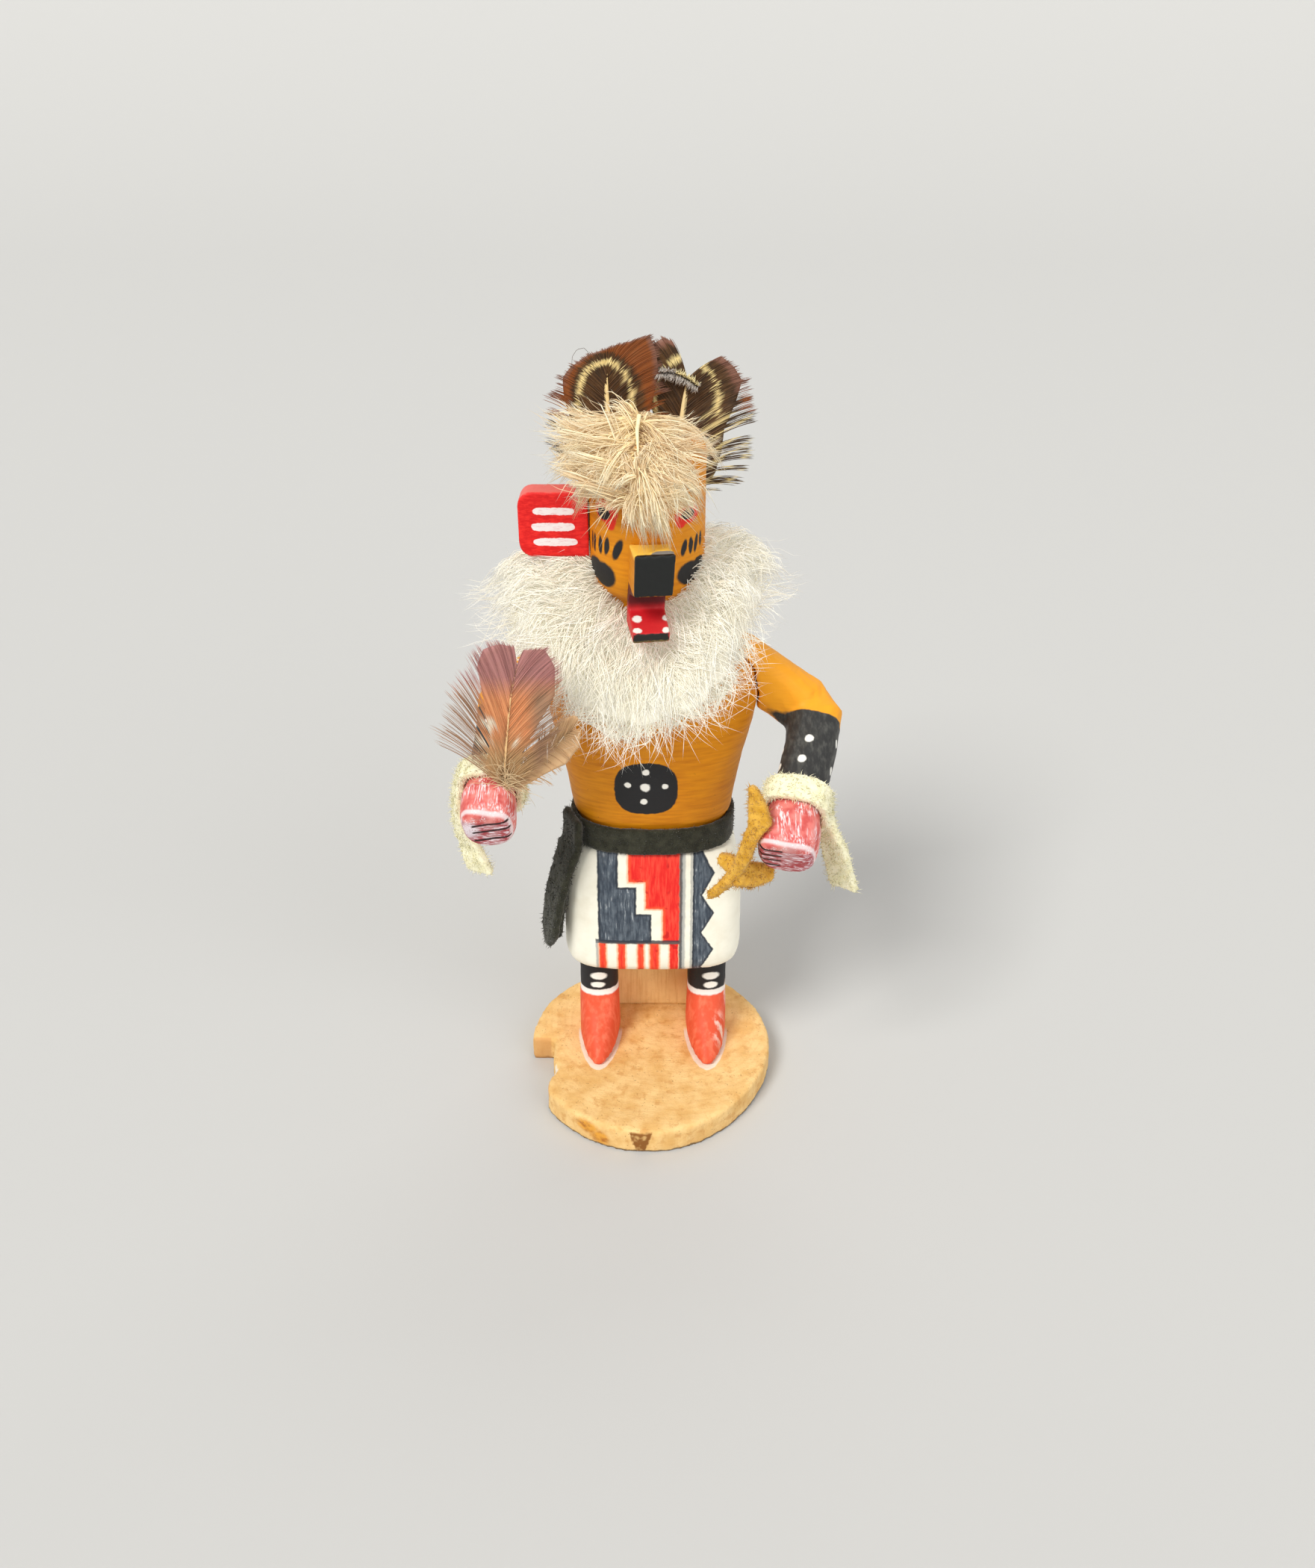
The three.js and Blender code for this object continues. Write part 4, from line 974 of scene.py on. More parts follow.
# %% Strand finish
def strand_material(name, roughness, specular, sheen=0.0, glow=0.0, shadow=0.12):
    """Takes its colour from the tint that was laid along each strand."""
    paint = PaintBox(name, roughness, specular)
    laid = paint.tree.nodes.new("ShaderNodeVertexColor")
    laid.layer_name = "tint"
    # Painted shade: broad noise darkens the strands in patches, as strong as shadow says.
    shade = paint.math("MULTIPLY", paint.step(paint.noise(1.6, 2), 0.45, 0.75), shadow)
    base = paint.mix(shade, laid.outputs["Color"], colour(150, 116, 76))
    paint.skin.inputs["Sheen Weight"].default_value = sheen
    paint.skin.inputs["Sheen Roughness"].default_value = 0.5
    if glow:
        paint.plug(paint.skin.inputs["Emission Color"], laid.outputs["Color"])
        paint.skin.inputs["Emission Strength"].default_value = glow
    return paint.finish(base)


def rgb(*parts):
    return np.array(colour(*parts)[:3])


def flat_tint(piece, shade):
    """Lays one tint over a whole mesh, so that it can share a material with strands."""
    tint = piece.data.color_attributes.new("tint", "FLOAT_COLOR", "POINT")
    tint.data.foreach_set("color", np.tile(np.array(shade, np.float32), len(piece.data.vertices)))


print("middle grey as a tint:", rgb(128, 128, 128).round(3))

# %% [markdown]
# ## Joining and planting
# Nap grows all over a strip, so its roots are strewn over the mesh: a triangle is drawn by its area, then a
# point inside it. The strands and the strip are joined afterwards and handed over as one piece.

# %% Joining and planting
def merge(pieces, name):
    """Joins meshes into the first of them."""
    bpy.ops.object.select_all(action="DESELECT")
    for piece in pieces:
        piece.select_set(True)
    bpy.context.view_layer.objects.active = pieces[0]
    bpy.ops.object.join()
    pieces[0].name = name
    return pieces[0]


def scatter(piece, count):
    """Random points on a mesh, spread by area, with their normals. In millimetres."""
    piece.data.calc_loop_triangles()
    corners = np.array([t.vertices[:] for t in piece.data.loop_triangles])
    places = np.array([v.co[:] for v in piece.data.vertices]) / MM
    a, b, c = places[corners[:, 0]], places[corners[:, 1]], places[corners[:, 2]]
    cross = np.cross(b - a, c - a)
    area = np.linalg.norm(cross, axis=1)
    chosen = random.choice(len(area), count, p=area / area.sum())
    s, t = random.random(count), random.random(count)
    flip = s + t > 1
    s[flip], t[flip] = 1 - s[flip], 1 - t[flip]
    point = a[chosen] + s[:, None] * (b - a)[chosen] + t[:, None] * (c - a)[chosen]
    return point, unit(cross[chosen])


def along_line(shares, line):
    """Points at the given shares of a line through a few points."""
    line = np.array(line, float)
    table = np.linspace(0, 1, len(line))
    return np.stack([np.interp(shares, table, line[:, k]) for k in range(3)], axis=-1)


print("half way between two points:", along_line([0.5], [(0, 0, 0), (2, 4, 6)])[0])

# %% [markdown]
# ## Suede
# Belt, sash, cuffs and the branch in the left fist are cut from split suede. Its nap is a felt of short
# fibres, which catches the light along every edge. The strips get a slightly uneven skin, and a few thousand
# short fibres stand out of it. A strip that was packed thin swells a little first.

# %% Suede skins
def suede_skin(name, low, high, crease):
    paint = PaintBox(name, roughness=0.95, specular=0.15)
    laid = paint.tree.nodes.new("ShaderNodeVertexColor")
    laid.layer_name = "tint"
    patch = paint.noise(2.2, 4)
    nap = paint.noise(0.28, 3)
    base = paint.mix(paint.step(patch, 0.3, 0.7), low, high)
    base = paint.mix(paint.both(paint.step(nap, 0.5, 0.72), 0.35), base, crease)
    paint.skin.inputs["Sheen Weight"].default_value = 0.35
    paint.skin.inputs["Sheen Roughness"].default_value = 0.4
    paint.bump(nap, 0.7, 0.22)
    return paint.finish(base)


black_suede = suede_skin("black_suede", colour(40, 40, 31), colour(60, 60, 48), colour(88, 88, 74))
cream_suede = suede_skin("cream_suede", colour(245, 240, 200), colour(254, 250, 220), colour(236, 226, 180))
tan_suede = suede_skin("tan_suede", colour(206, 152, 46), colour(232, 182, 78), colour(170, 116, 28))


# %% Suede pieces
def suede(node, name, slot, skin, fibres, length, voxel, swell=0.0):
    """length is of the fibres. swell thickens a strip that was packed thin. Both are in millimetres."""
    strip = copy_of(node, name)
    shape(strip, "REMESH", mode="VOXEL", voxel_size=voxel * MM)
    if swell:
        shape(strip, "DISPLACE", strength=swell * MM, mid_level=0.0)
    shape(strip, "SMOOTH", factor=0.5, iterations=2)
    waver(strip, 3.5, 0.4)
    waver(strip, 0.9, 0.3)
    bpy.ops.object.shade_smooth()
    root, normal = scatter(strip, fibres)
    lean = unit(normal + random.normal(size=normal.shape) * 0.7)
    steps = np.linspace(0, 1, 3)[None, :, None]
    reach = length * random.uniform(0.3, 1.2, (fibres, 1, 1)) ** 1.3
    curl = unit(random.normal(size=(fibres, 3)))[:, None, :] * reach * 0.5 * steps**2
    paths = root[:, None, :] - normal[:, None, :] * 0.05 + lean[:, None, :] * reach * steps + curl
    radii = np.linspace(0.1, 0.03, 3)[None, :] * np.ones((fibres, 1))
    flat_tint(strip, (0.5, 0.5, 0.5, 1))
    fuzz = strands(name + "_nap", paths, radii, np.full((fibres, 3, 3), 0.5))
    settle(merge([strip, fuzz], name), slot, skin, node)


suede("belt", "belt_band", "black_suede", black_suede, fibres=1800, length=0.6, voxel=0.52)
suede("sash", "hip_sash", "black_suede", black_suede, fibres=1500, length=0.8, voxel=0.5, swell=0.4)
suede("cuff_left", "left_cuff", "cream_suede", cream_suede, fibres=2900, length=1.25, voxel=0.48)
suede("cuff_right", "right_cuff", "cream_suede", cream_suede, fibres=2900, length=1.25, voxel=0.48)
suede("suede_branch", "branch", "tan_suede", tan_suede, fibres=1500, length=0.95, voxel=0.36, swell=0.5)

# %% [markdown]
# ## The ruff's form
# A strip of white rabbit fur is tied round the neck. It runs outwards over the shoulders and hangs down in
# front. A place in it is told by three numbers: the turn round the neck, the share of the way out, and the
# layer from the underside to the top. Core and hairs both use them, so they always fit each other.

# %% The ruff's form
BASE_TOP = 7.0
COLLAR_HEIGHT = 120 + BASE_TOP
COLLAR_RADIUS = 6
RUFF_SIDE = 33
RUFF_FRONT = 26.5
RUFF_BACK = 25
RUFF_MIDDLE = np.array([-2.4, 5.0])
# The thickness from collar to tips, at these shares of the way out.
RUFF_SHARE = [0, 0.35, 0.7, 0.93, 1, 1.6]
RUFF_TOP = [0.75, 1, 0.95, 0.5, 0.06, 0.02]
RUFF_BOTTOM = [0.7, 0.95, 0.9, 0.45, 0.06, 0.02]


def ruff_place(turn, share, layer):
    """A point of the fur. turn is in radians, 0 at the doll's left, and layer runs from -1 to 1."""
    front = np.maximum(0, -np.sin(turn))
    back = np.maximum(0, np.sin(turn))
    tufts = 1 + 0.035 * np.sin(11 * turn) + 0.03 * np.sin(17 * turn + 1)
    middle = np.where(front > 0, RUFF_FRONT, RUFF_BACK)
    shoulder = np.clip((np.cos(turn + 0.3) - 0.9) / 0.1, 0, 1)
    right = np.clip(np.cos(turn), 0, 1) ** 2
    reach = (RUFF_SIDE + (middle - RUFF_SIDE) * (front + back) ** 2) * tufts
    reach = reach * (1 - 0.16 * shoulder - 0.02 * right)
    root = COLLAR_HEIGHT - 9 * front
    tip = COLLAR_HEIGHT - 21 * front**1.6 + 2 * back
    thick = 9.5 - 2.5 * (front + back) ** 2
    above = np.interp(share, RUFF_SHARE, RUFF_TOP)
    profile = np.where(layer > 0, above, np.interp(share, RUFF_SHARE, RUFF_BOTTOM))
    height = root + (tip - root) * np.maximum(share, 0) ** 1.4 + layer * profile * thick
    radius = COLLAR_RADIUS + (reach - COLLAR_RADIUS) * share
    x = RUFF_MIDDLE[0] + np.cos(turn) * radius
    y = RUFF_MIDDLE[1] + np.sin(turn) * radius
    return np.stack([x, y, height], axis=-1)


def collar_rise(turn, share):
    """The fur stands up against the chin and the sides of the head."""
    front = np.maximum(0, -np.sin(turn))
    return (3.6 - 0.4 * front) * np.clip(1 - share / 0.55, 0, 1) ** 1.2


print("tips in front hang down to", ruff_place(np.array(-math.pi / 2), 1.0, 0.0)[2].round(1), "mm")

# %% [markdown]
# ## The ruff's core
# Nobody sees the hide, but light must not shine through between the hairs. A closed and lumpy ring a little
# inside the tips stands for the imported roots.

# %% The ruff's core
def turned_outwards(piece):
    """Makes all faces of a mesh look outwards, and shades it smooth."""
    bpy.ops.object.select_all(action="DESELECT")
    bpy.context.view_layer.objects.active = piece
    piece.select_set(True)
    bpy.ops.object.mode_set(mode="EDIT")
    bpy.ops.mesh.select_all(action="SELECT")
    bpy.ops.mesh.normals_make_consistent(inside=False)
    bpy.ops.object.mode_set(mode="OBJECT")
    bpy.ops.object.shade_smooth()


def ruff_core():
    around, section = 140, 26
    turns = np.repeat(np.arange(around) * 2 * math.pi / around, section)
    angle = np.tile(np.arange(section) * 2 * math.pi / section, around)
    lump = 1 + 0.05 * np.sin(23 * turns + 4 * np.cos(angle)) * np.sin(9 * turns)
    share = 0.43 - 0.38 * np.cos(angle) * lump
    layer = np.sin(angle) * np.where(np.sin(angle) > 0, 0.66, 0.5) * lump
    points = ruff_place(turns, share, layer)
    points[:, 2] += collar_rise(turns, share) * np.maximum(0, np.sin(angle))
    faces = []
    for i in range(around):
        for j in range(section):
            here, beyond = i * section, (i + 1) % around * section
            k = (j + 1) % section
            faces.append((here + j, beyond + j, beyond + k, here + k))
    mesh = bpy.data.meshes.new("ruff_core")
    mesh.from_pydata((points * MM).tolist(), [], faces)
    piece = bpy.data.objects.new("ruff_core", mesh)
    bpy.context.scene.collection.objects.link(piece)
    turned_outwards(piece)
    flat_tint(piece, (*rgb(250, 247, 234), 1))
    print("ruff core", count_triangles(piece), "triangles")
    return piece


# %% [markdown]
# ## Locks of fur
# Fur hangs in locks: the hairs of a lock leave the hide near each other, follow the form outwards in one
# layer, and draw together at the tip. Single hairs strewn at random would look like felt. So each lock is
# drawn first, and its hairs stray a little from it. Two irrational steps, one round the neck and one
# outwards, spread the locks evenly, so that none of the core is left bare. The fur is lifted on the doll's
# left and behind.

# %% Locks of fur
STEP_ROUND = 0.7548777
STEP_OUT = 0.5698403


def ruff_hairs(name, locks, hairs, steps, start, reach, furthest, layers, radius, gather, wild, hook=1.8):
    """start, reach and layers are ranges of shares. gather is how far the tips of a lock lie apart.
    wild is how far a hair strays, in millimetres, and hook how late on its way it does so."""

    def per_lock(values):
        return np.repeat(values, hairs)

    count = locks * hairs
    which = np.arange(locks)
    lock_turn = 2 * math.pi * ((which * STEP_ROUND + random.random()) % 1) + random.normal(0, 0.05, locks)
    lock_start = start[0] + (start[1] - start[0]) * ((which * STEP_OUT + random.random()) % 1)
    lock_end = lock_start + random.uniform(*reach, locks)
    lock_end = np.minimum(lock_end, furthest * random.uniform(0.88, 1.0, locks))
    layer = per_lock(random.uniform(*layers, locks)) + random.normal(0, 0.06, count)
    layer = np.clip(layer, *layers)
    root_turn = per_lock(lock_turn) + random.normal(0, 0.1, count)
    swirl = random.normal(0, 0.17, locks) + 0.1 * np.sin(5 * lock_turn)
    tip_turn = per_lock(lock_turn + swirl) + random.normal(0, gather, count)
    first = np.maximum(per_lock(lock_start) + random.normal(0, 0.05, count), 0)
    last = per_lock(lock_end) - np.abs(random.normal(0, 0.6 * gather + 0.03, count))
    last = np.maximum(last, first + 0.15)
    u = np.linspace(0, 1, steps)[None, :]
    turns = root_turn[:, None] + (tip_turn - root_turn)[:, None] * u**1.3
    shares = first[:, None] + (last - first)[:, None] * u
    paths = ruff_place(turns, shares, layer[:, None] * np.ones_like(u))
    paths[:, :, 2] += collar_rise(turns, shares) * np.clip(layer[:, None] * 1.3, 0, 1.1)
    side = np.maximum(0, np.cos(root_turn))
    lift = (1.5 + 5.5 * side**2 + 2.0 * np.maximum(0, np.sin(root_turn))) * (layer > 0.2)
    lift = lift * per_lock(random.uniform(0.1, 1, locks)) * random.uniform(0.7, 1.1, count)
    paths[:, :, 2] += lift[:, None] * np.sin(u * math.pi * 0.66)
    stray = random.normal(size=(count, 3)) * wild * random.choice([0.3, 1.0], (count, 1), p=[0.7, 0.3])
    stray[:, 2] -= random.uniform(0, 1.2, count)
    paths += stray[:, None, :] * (u**hook)[:, :, None]
    radii = radius * random.uniform(0.7, 1.25, count)[:, None] * np.linspace(1, 0.55, steps)[None, :]
    light = (0.6 * per_lock(random.random(locks)) + 0.4 * random.random(count))[:, None, None]
    root = rgb(253, 249, 234) * light + rgb(240, 232, 208) * (1 - light)
    tip = rgb(255, 255, 250) * light + rgb(252, 247, 230) * (1 - light)
    tints = root * (1 - u[:, :, None]) + tip * u[:, :, None]
    return strands(name, paths, radii, tints * np.ones((count, steps, 1)))


print("locks are spread by", round(STEP_ROUND * 360), "degrees from one to the next")

# %% [markdown]
# ## Dressing the ruff
# Rabbit fur has a dense, short undercoat, a topcoat that gives it its shine, and a few long guard hairs that
# reach far past the rest. They are three runs of the same helper, from short and thick to long and thin.

# %% Dressing the ruff
fur = strand_material("white_fur", 0.7, 0.1, 0.3, 0.12, 0.0)
under_hairs = ruff_hairs(
    "under",
    locks=460,
    hairs=12,
    steps=4,
    start=(0.02, 0.75),
    reach=(0.25, 0.45),
    furthest=1.03,
    layers=(-0.95, 0.9),
    radius=0.15,
    gather=0.07,
    wild=1.0,
)
undercoat = merge([ruff_core(), under_hairs], "ruff_undercoat")
settle(undercoat, "white_fur", fur, "fur_ruff")
topcoat = ruff_hairs(
    "ruff_topcoat",
    locks=690,
    hairs=10,
    steps=5,
    start=(0.0, 0.68),
    reach=(0.3, 0.5),
    furthest=1.1,
    layers=(0.6, 1.15),
    radius=0.11,
    gather=0.035,
    wild=1.3,
)
settle(topcoat, "white_fur", fur)
guard = ruff_hairs(
    "ruff_guard_hairs",
    locks=800,
    hairs=2,
    steps=6,
    start=(0.3, 0.8),
    reach=(0.4, 0.7),
    furthest=1.32,
    layers=(-0.3, 1.1),
    radius=0.07,
    gather=0.06,
    wild=2.4,
    hook=1.2,
)
settle(guard, "white_fur", fur)

# %% [markdown]
# ## The forehead plume
# One fluffy body feather is glued on the crown and lies forwards on the brow. Its pale shaft runs in the
# middle. Soft barbs leave it in bundles to all sides, arch over the edge of the head and end in separate
# points. Each bundle has a root on the shaft and an end of its own, and its barbs stray from both, so the
# head shows between the bundles as it does on the real doll.

# %% Bundles of down
PLUME_SHAFT = [
    (-2.1, 8, 166.2),
    (-2.2, 3, 166.9),
    (-2.4, -4, 164.2),
    (-2.1, -9.5, 160.4),
    (-1.8, -12.6, 155),
]
PLUME_MIDDLE = np.array([-1.6, 1.0, 160.4])
# Each fan of bundles: how many, how full they are, the compass turn from right over front to left, the reach
# out and the height of the ends.
PLUME_FANS = [
    (17, 1.0, (258, 300), (13.2, 16), (-17, -9)),
    (16, 0.9, (214, 262), (11.5, 15.5), (-9, 0)),
    (8, 0.8, (188, 199), (13, 16), (-12, -6)),
    (8, 0.8, (197, 216), (12, 15), (-6, 0)),
    (18, 0.9, (290, 335), (12, 16), (-13, -2)),
    (20, 0.6, (150, 186), (14, 22.5), (-1, 9)),
    (20, 0.7, (178, 210), (13, 21), (-6, 3)),
    (14, 0.6, (-25, 35), (9, 20), (-4, 5)),
    (16, 0.7, (40, 150), (5, 9), (1, 6.5)),
    (46, 1.0, (150, 390), (4.5, 10.5), (-3, 4)),
    (9, 0.2, (120, 178), (7, 13), (6, 11)),
    (12, 0.22, (152, 205), (17, 23), (-2, 11)),
    (8, 0.2, (225, 330), (14, 17), (-13, -4)),
]


def plume_bundles(name, most_barbs, steps, radius, wild, fans):
    """most_barbs is how many a full bundle has, and wild how far some of them stray, in millimetres."""
    paths, tones_and_shade = [], []
    u = np.linspace(0, 1, steps)[None, :, None]
    for bundles, full, turns, reaches, heights in fans:
        for _ in range(bundles):
            barbs = round(most_barbs * full)
            turn = math.radians(random.uniform(*turns))
            flat = np.array([math.cos(turn), math.sin(turn)])
            reach = random.uniform(*reaches)
            end = PLUME_MIDDLE + np.array([*(flat * reach), random.uniform(*heights)])
            v = np.clip(0.5 - 0.42 * flat[1] + random.normal(0, 0.22), 0, 1) * 0.98
            start = along_line(v, PLUME_SHAFT)
            middle = start * 0.42 + end * 0.58
            if end[2] > start[2] - 3 and reach > 12:
                middle[2] = min(start[2], end[2]) + random.uniform(-1, 2)
            else:
                middle[2] = max(start[2], end[2]) + random.uniform(-1, 1.8)
            middle[:2] += random.normal(0, 1.3, 2)
            a = start + random.normal(0, 0.5, (barbs, 1, 3))
            b = middle + random.normal(0, 1.0, (barbs, 1, 3))
            apart = np.where(random.random((barbs, 1, 1)) < 0.25, wild, 0.3)
            c = end + random.normal(0, 1, (barbs, 1, 3)) * apart
            c = b + (c - b) * random.uniform(0.55, 1.05, (barbs, 1, 1))
            bundle = a * (1 - u) ** 2 + 2 * b * u * (1 - u) + c * u**2
            across = np.array([-flat[1], flat[0], 0])
            angle = random.uniform(0, 2 * math.pi) + u * random.choice([-3.2, 3.2])
            width = reach * random.uniform(0.03, 0.13) * random.uniform(0.7, 1.2, (barbs, 1, 1)) * u**2
            curl = across * np.cos(angle) * width + np.array([0, 0, 1]) * np.sin(angle) * width
            paths.append(bundle + curl)
            tones_and_shade.append(random.uniform(0.25, 1) + random.normal(0, 0.28, barbs))
    paths, tone_and_shade = np.concatenate(paths), np.clip(np.concatenate(tones_and_shade), 0, 1)[:, None, None]
    radii = radius * random.uniform(0.6, 1.3, len(paths))[:, None] * np.linspace(1, 0.36, steps)[None, :]
    # Painted light and shade: a tone near 1 is lit cream and near 0 is shaded brown, darkest at the roots
    # deep in the plume. Part of the brown is the barbs' own colour.
    tip = rgb(255, 250, 226) * tone_and_shade + rgb(246, 214, 164) * (1 - tone_and_shade)
    root = rgb(255, 228, 168) * tone_and_shade + rgb(132, 82, 36) * (1 - tone_and_shade)
    return strands(name, paths, radii, (root * (1 - u) + tip * u) * np.ones((len(paths), steps, 1)))


print("the plume has", sum(fan[0] for fan in PLUME_FANS), "bundles")

# %% [markdown]
# ## Cushion and quill
# The bundles need something to sit in, which on a real feather is its packed fluff. It is a flattened, lumpy
# ball on the crown, and droops over the brow. Its tan is darker than the down: partly the fluff's own colour,
# and partly painted shade, so that the gaps between bundles read as shadow. A quill is one thick strand with
# its own width at each point.

# %% Cushion and quill
def plume_cushion():
    bpy.ops.object.select_all(action="DESELECT")
    bpy.ops.mesh.primitive_ico_sphere_add(subdivisions=4, radius=1)
    cushion = bpy.context.object
    cushion.name = "plume_cushion"
    points = np.array([v.co[:] for v in cushion.data.vertices])
    rough = 1 + 0.1 * np.sin(points[:, 0] * 9 + 2) * np.cos(points[:, 1] * 11)
    points = points * np.array([8.0, 8.6, 3.4]) * rough[:, None]
    points[:, 2] -= 0.035 * np.maximum(0, -points[:, 1] - 3) ** 2
    points = points + np.array([-2.0, -0.5, 161.4])
    cushion.data.vertices.foreach_set("co", (points * MM).reshape(-1).astype(np.float32))
    cushion.data.update()
    bpy.ops.object.shade_smooth()
    bpy.ops.object.transform_apply(location=True, rotation=True, scale=True)
    # Partly painted shade: a darker tan, so that gaps between the bundles look shaded.
    flat_tint(cushion, (*rgb(206, 156, 98), 1))
    return cushion


def shaft(name, points, radii, tint):
    """A tapering quill through a few points."""
    steps = 16
    shares = np.linspace(0, 1, steps)
    radius = np.interp(shares, np.linspace(0, 1, len(radii)), radii)
    tints = np.ones((1, steps, 3)) * rgb(*tint)
    return strands(name, along_line(shares, points)[None], radius[None], tints)


PLUME_QUILL = [
    (-2.1, 8.4, 166.9),
    (-2.2, 3, 168.2),
    (-2.6, -3, 166.6),
    (-2.4, -7, 164.4),
    (-1.9, -11.2, 160.6),
]
down = strand_material("pale_down", 0.65, 0.15, 0.2, 0.12, 0.2)
quill = shaft("plume_shaft", PLUME_QUILL, [0.5, 0.54, 0.44, 0.26, 0.08], (255, 238, 190))
bundles = plume_bundles("bundles", most_barbs=28, steps=6, radius=0.16, wild=1.7, fans=PLUME_FANS)
plume = merge([plume_cushion(), bundles, quill], "plume")
settle(plume, "pale_down", down, "forehead_plume")

# %% [markdown]
# ## Wisps
# A few finer barbs of every bundle stray further and catch the light singly, as the ends of real down do.
# They use the same fans with fewer, thinner and wilder barbs.

# %% Wisps
wisps = plume_bundles("plume_wisps", most_barbs=8, steps=7, radius=0.1, wild=2.6, fans=PLUME_FANS)
settle(wisps, "pale_down", down)

# %% [markdown]
# ## Flat feathers
# A vane is a comb of barbs on both sides of a shaft. Each barb leaves the shaft forwards and bends out to
# the rim, so the rim is given as a row of tips, and each barb finds its own tip between them. The bands
# belong to the feather as a whole, so a barb takes its tint from where each of its steps lies. That gives
# the ragged edges that real bands have. Towards the root a real vane falls apart into downy bundles, so
# barbs near each other share a tip there.

# %% Vanes
def barb_ends(roots, tips):
    """Tips for barbs at the given shares of the shaft. A row of tips holds share, across and up."""
    share, across, up = np.array(tips, float).T
    return np.stack([np.interp(roots, share, across), np.interp(roots, share, up)], axis=-1)


def vane_side(spine, tips, count, steps, cup, lead, clump):
    """Paths of the barbs on one side: strands x steps x 3. clump is the number of bundles.
    cup bends the vane backwards towards its rim, and lead bends each barb forwards."""
    spine = np.array(spine, float)
    rim = np.array(tips, float)
    walked = np.concatenate([[0], np.cumsum(np.hypot(np.diff(rim[:, 1]), np.diff(rim[:, 2])))])
    even = np.interp(random.uniform(0, walked[-1], count), walked, rim[:, 0])
    roots = np.sort(np.where(random.random(count) < 0.75, even, random.uniform(0, 1, count)))
    root = along_line(roots, spine)
    bundle = np.round(roots * clump) / clump
    end = barb_ends(roots, tips)
    loose = np.clip(1.4 - 1.6 * roots, 0.0, 1.0)
    shared = barb_ends(bundle + 0.006 * random.normal(size=count), tips)
    end = end + (shared - end) * (0.9 * loose)[:, None]
    end += random.normal(0, 0.22, (count, 2)) * (0.6 + loose)[:, None]
    apart = random.normal(0, 1, (clump + 1, 2)) * np.array([0.7, 1.0])
    end += apart[np.round(roots * clump).astype(int)] * loose[:, None]
    along = unit(spine[-1] - spine[0])
    u = np.linspace(0, 1, steps)[None, :, None]
    target = np.stack([end[:, 0], root[:, 1], end[:, 1]], axis=-1)
    span = np.linalg.norm(target - root, axis=1)[:, None, None]
    bend = along[None, None, :] * span * lead * u * (1 - u)
    paths = root[:, None, :] * (1 - u) + target[:, None, :] * u + bend
    away = paths[:, :, 0] - root[:, None, 0]
    paths[:, :, 1] += cup * away**2 + random.normal(0, 0.1, count)[:, None]
    return paths


print("a tip half way up:", barb_ends([0.5], [(0, 0, 0), (1, 4, 6)])[0])

# %% [markdown]
# ## The leaf behind the barbs
# On a real vane the barbs are hooked together, and no light comes through. Barbs alone would leave gaps, so
# a closed skin, thinner than a barb, lies between them. It ends short of the rim, where single barbs show.
# Its tint is a tenth darker than the barbs': painted shade in the gaps between them.

# %% The leaf behind the barbs
LEAF_THICKNESS = 0.07


def leaf_faces(rows, cols):
    """Faces of a closed sheet: the front's points come first, then the back's in the same order."""
    faces = []
    half = rows * cols
    for r in range(rows - 1):
        for c in range(cols - 1):
            a = r * cols + c
            faces.append((a, a + 1, a + cols + 1, a + cols))
            faces.append((half + a, half + a + cols, half + a + cols + 1, half + a + 1))
    rim = [c for c in range(cols)]
    rim += [r * cols + cols - 1 for r in range(1, rows)]
    rim += [(rows - 1) * cols + c for c in range(cols - 2, -1, -1)]
    rim += [r * cols for r in range(rows - 2, 0, -1)]
    for a, b in zip(rim, rim[1:] + rim[:1]):
        faces.append((a, half + a, half + b, b))
    return faces


def leaf(name, spine, left, right, pattern, cup, lead, solid):
    """solid holds places along the shaft, and the share of the vane that the leaf fills at each of them."""
    rows, cols = 46, 17
    v = np.linspace(0.02, 0.985, rows)
    root = along_line(v, spine)
    along = unit(np.subtract(spine[-1], spine[0]))
    grid = np.zeros((rows, cols, 3))
    shares = np.zeros((rows, cols))
    for c, w in enumerate(np.linspace(-1, 1, cols)):
        end = barb_ends(v, left if w < 0 else right)
        share = abs(w) * np.interp(v, *solid)[:, None]
        shares[:, c] = share[:, 0]
        target = np.stack([end[:, 0], root[:, 1], end[:, 1]], axis=-1)
        span = np.linalg.norm(target - root, axis=1)[:, None]
        grid[:, c] = root * (1 - share) + target * share + along * span * lead * share * (1 - share)
        grid[:, c, 1] += cup * (grid[:, c, 0] - root[:, 0]) ** 2
    behind = grid + np.array([0, LEAF_THICKNESS, 0])
    points = np.concatenate([grid.reshape(-1, 3), behind.reshape(-1, 3)])
    mesh = bpy.data.meshes.new(name)
    mesh.from_pydata((points * MM).tolist(), [], leaf_faces(rows, cols))
    piece = bpy.data.objects.new(name, mesh)
    bpy.context.scene.collection.objects.link(piece)
    tint = mesh.color_attributes.new("tint", "FLOAT_COLOR", "POINT")
    both_sides = np.tile(shares.reshape(-1), 2)[None]
    shades = pattern(points[:, 0][None], points[:, 2][None], both_sides, np.zeros((1, 1)))[0]
    # Painted shade: the leaf is a tenth darker than the barbs, in the gaps between them.
    shades = np.concatenate([shades * 0.9, np.ones((len(points), 1))], axis=1)
    tint.data.foreach_set("color", shades.reshape(-1).astype(np.float32))
    turned_outwards(piece)
    return piece


print("a leaf of two rows and two columns has", len(leaf_faces(2, 2)), "faces")

# %% [markdown]
# ## A whole feather
# Two rows of barbs, the leaf and the quill make a feather. What differs from one feather to the next comes
# in from outside: its shaft, its rim on either side, and its pattern, a function that gives a tint for each
# place.

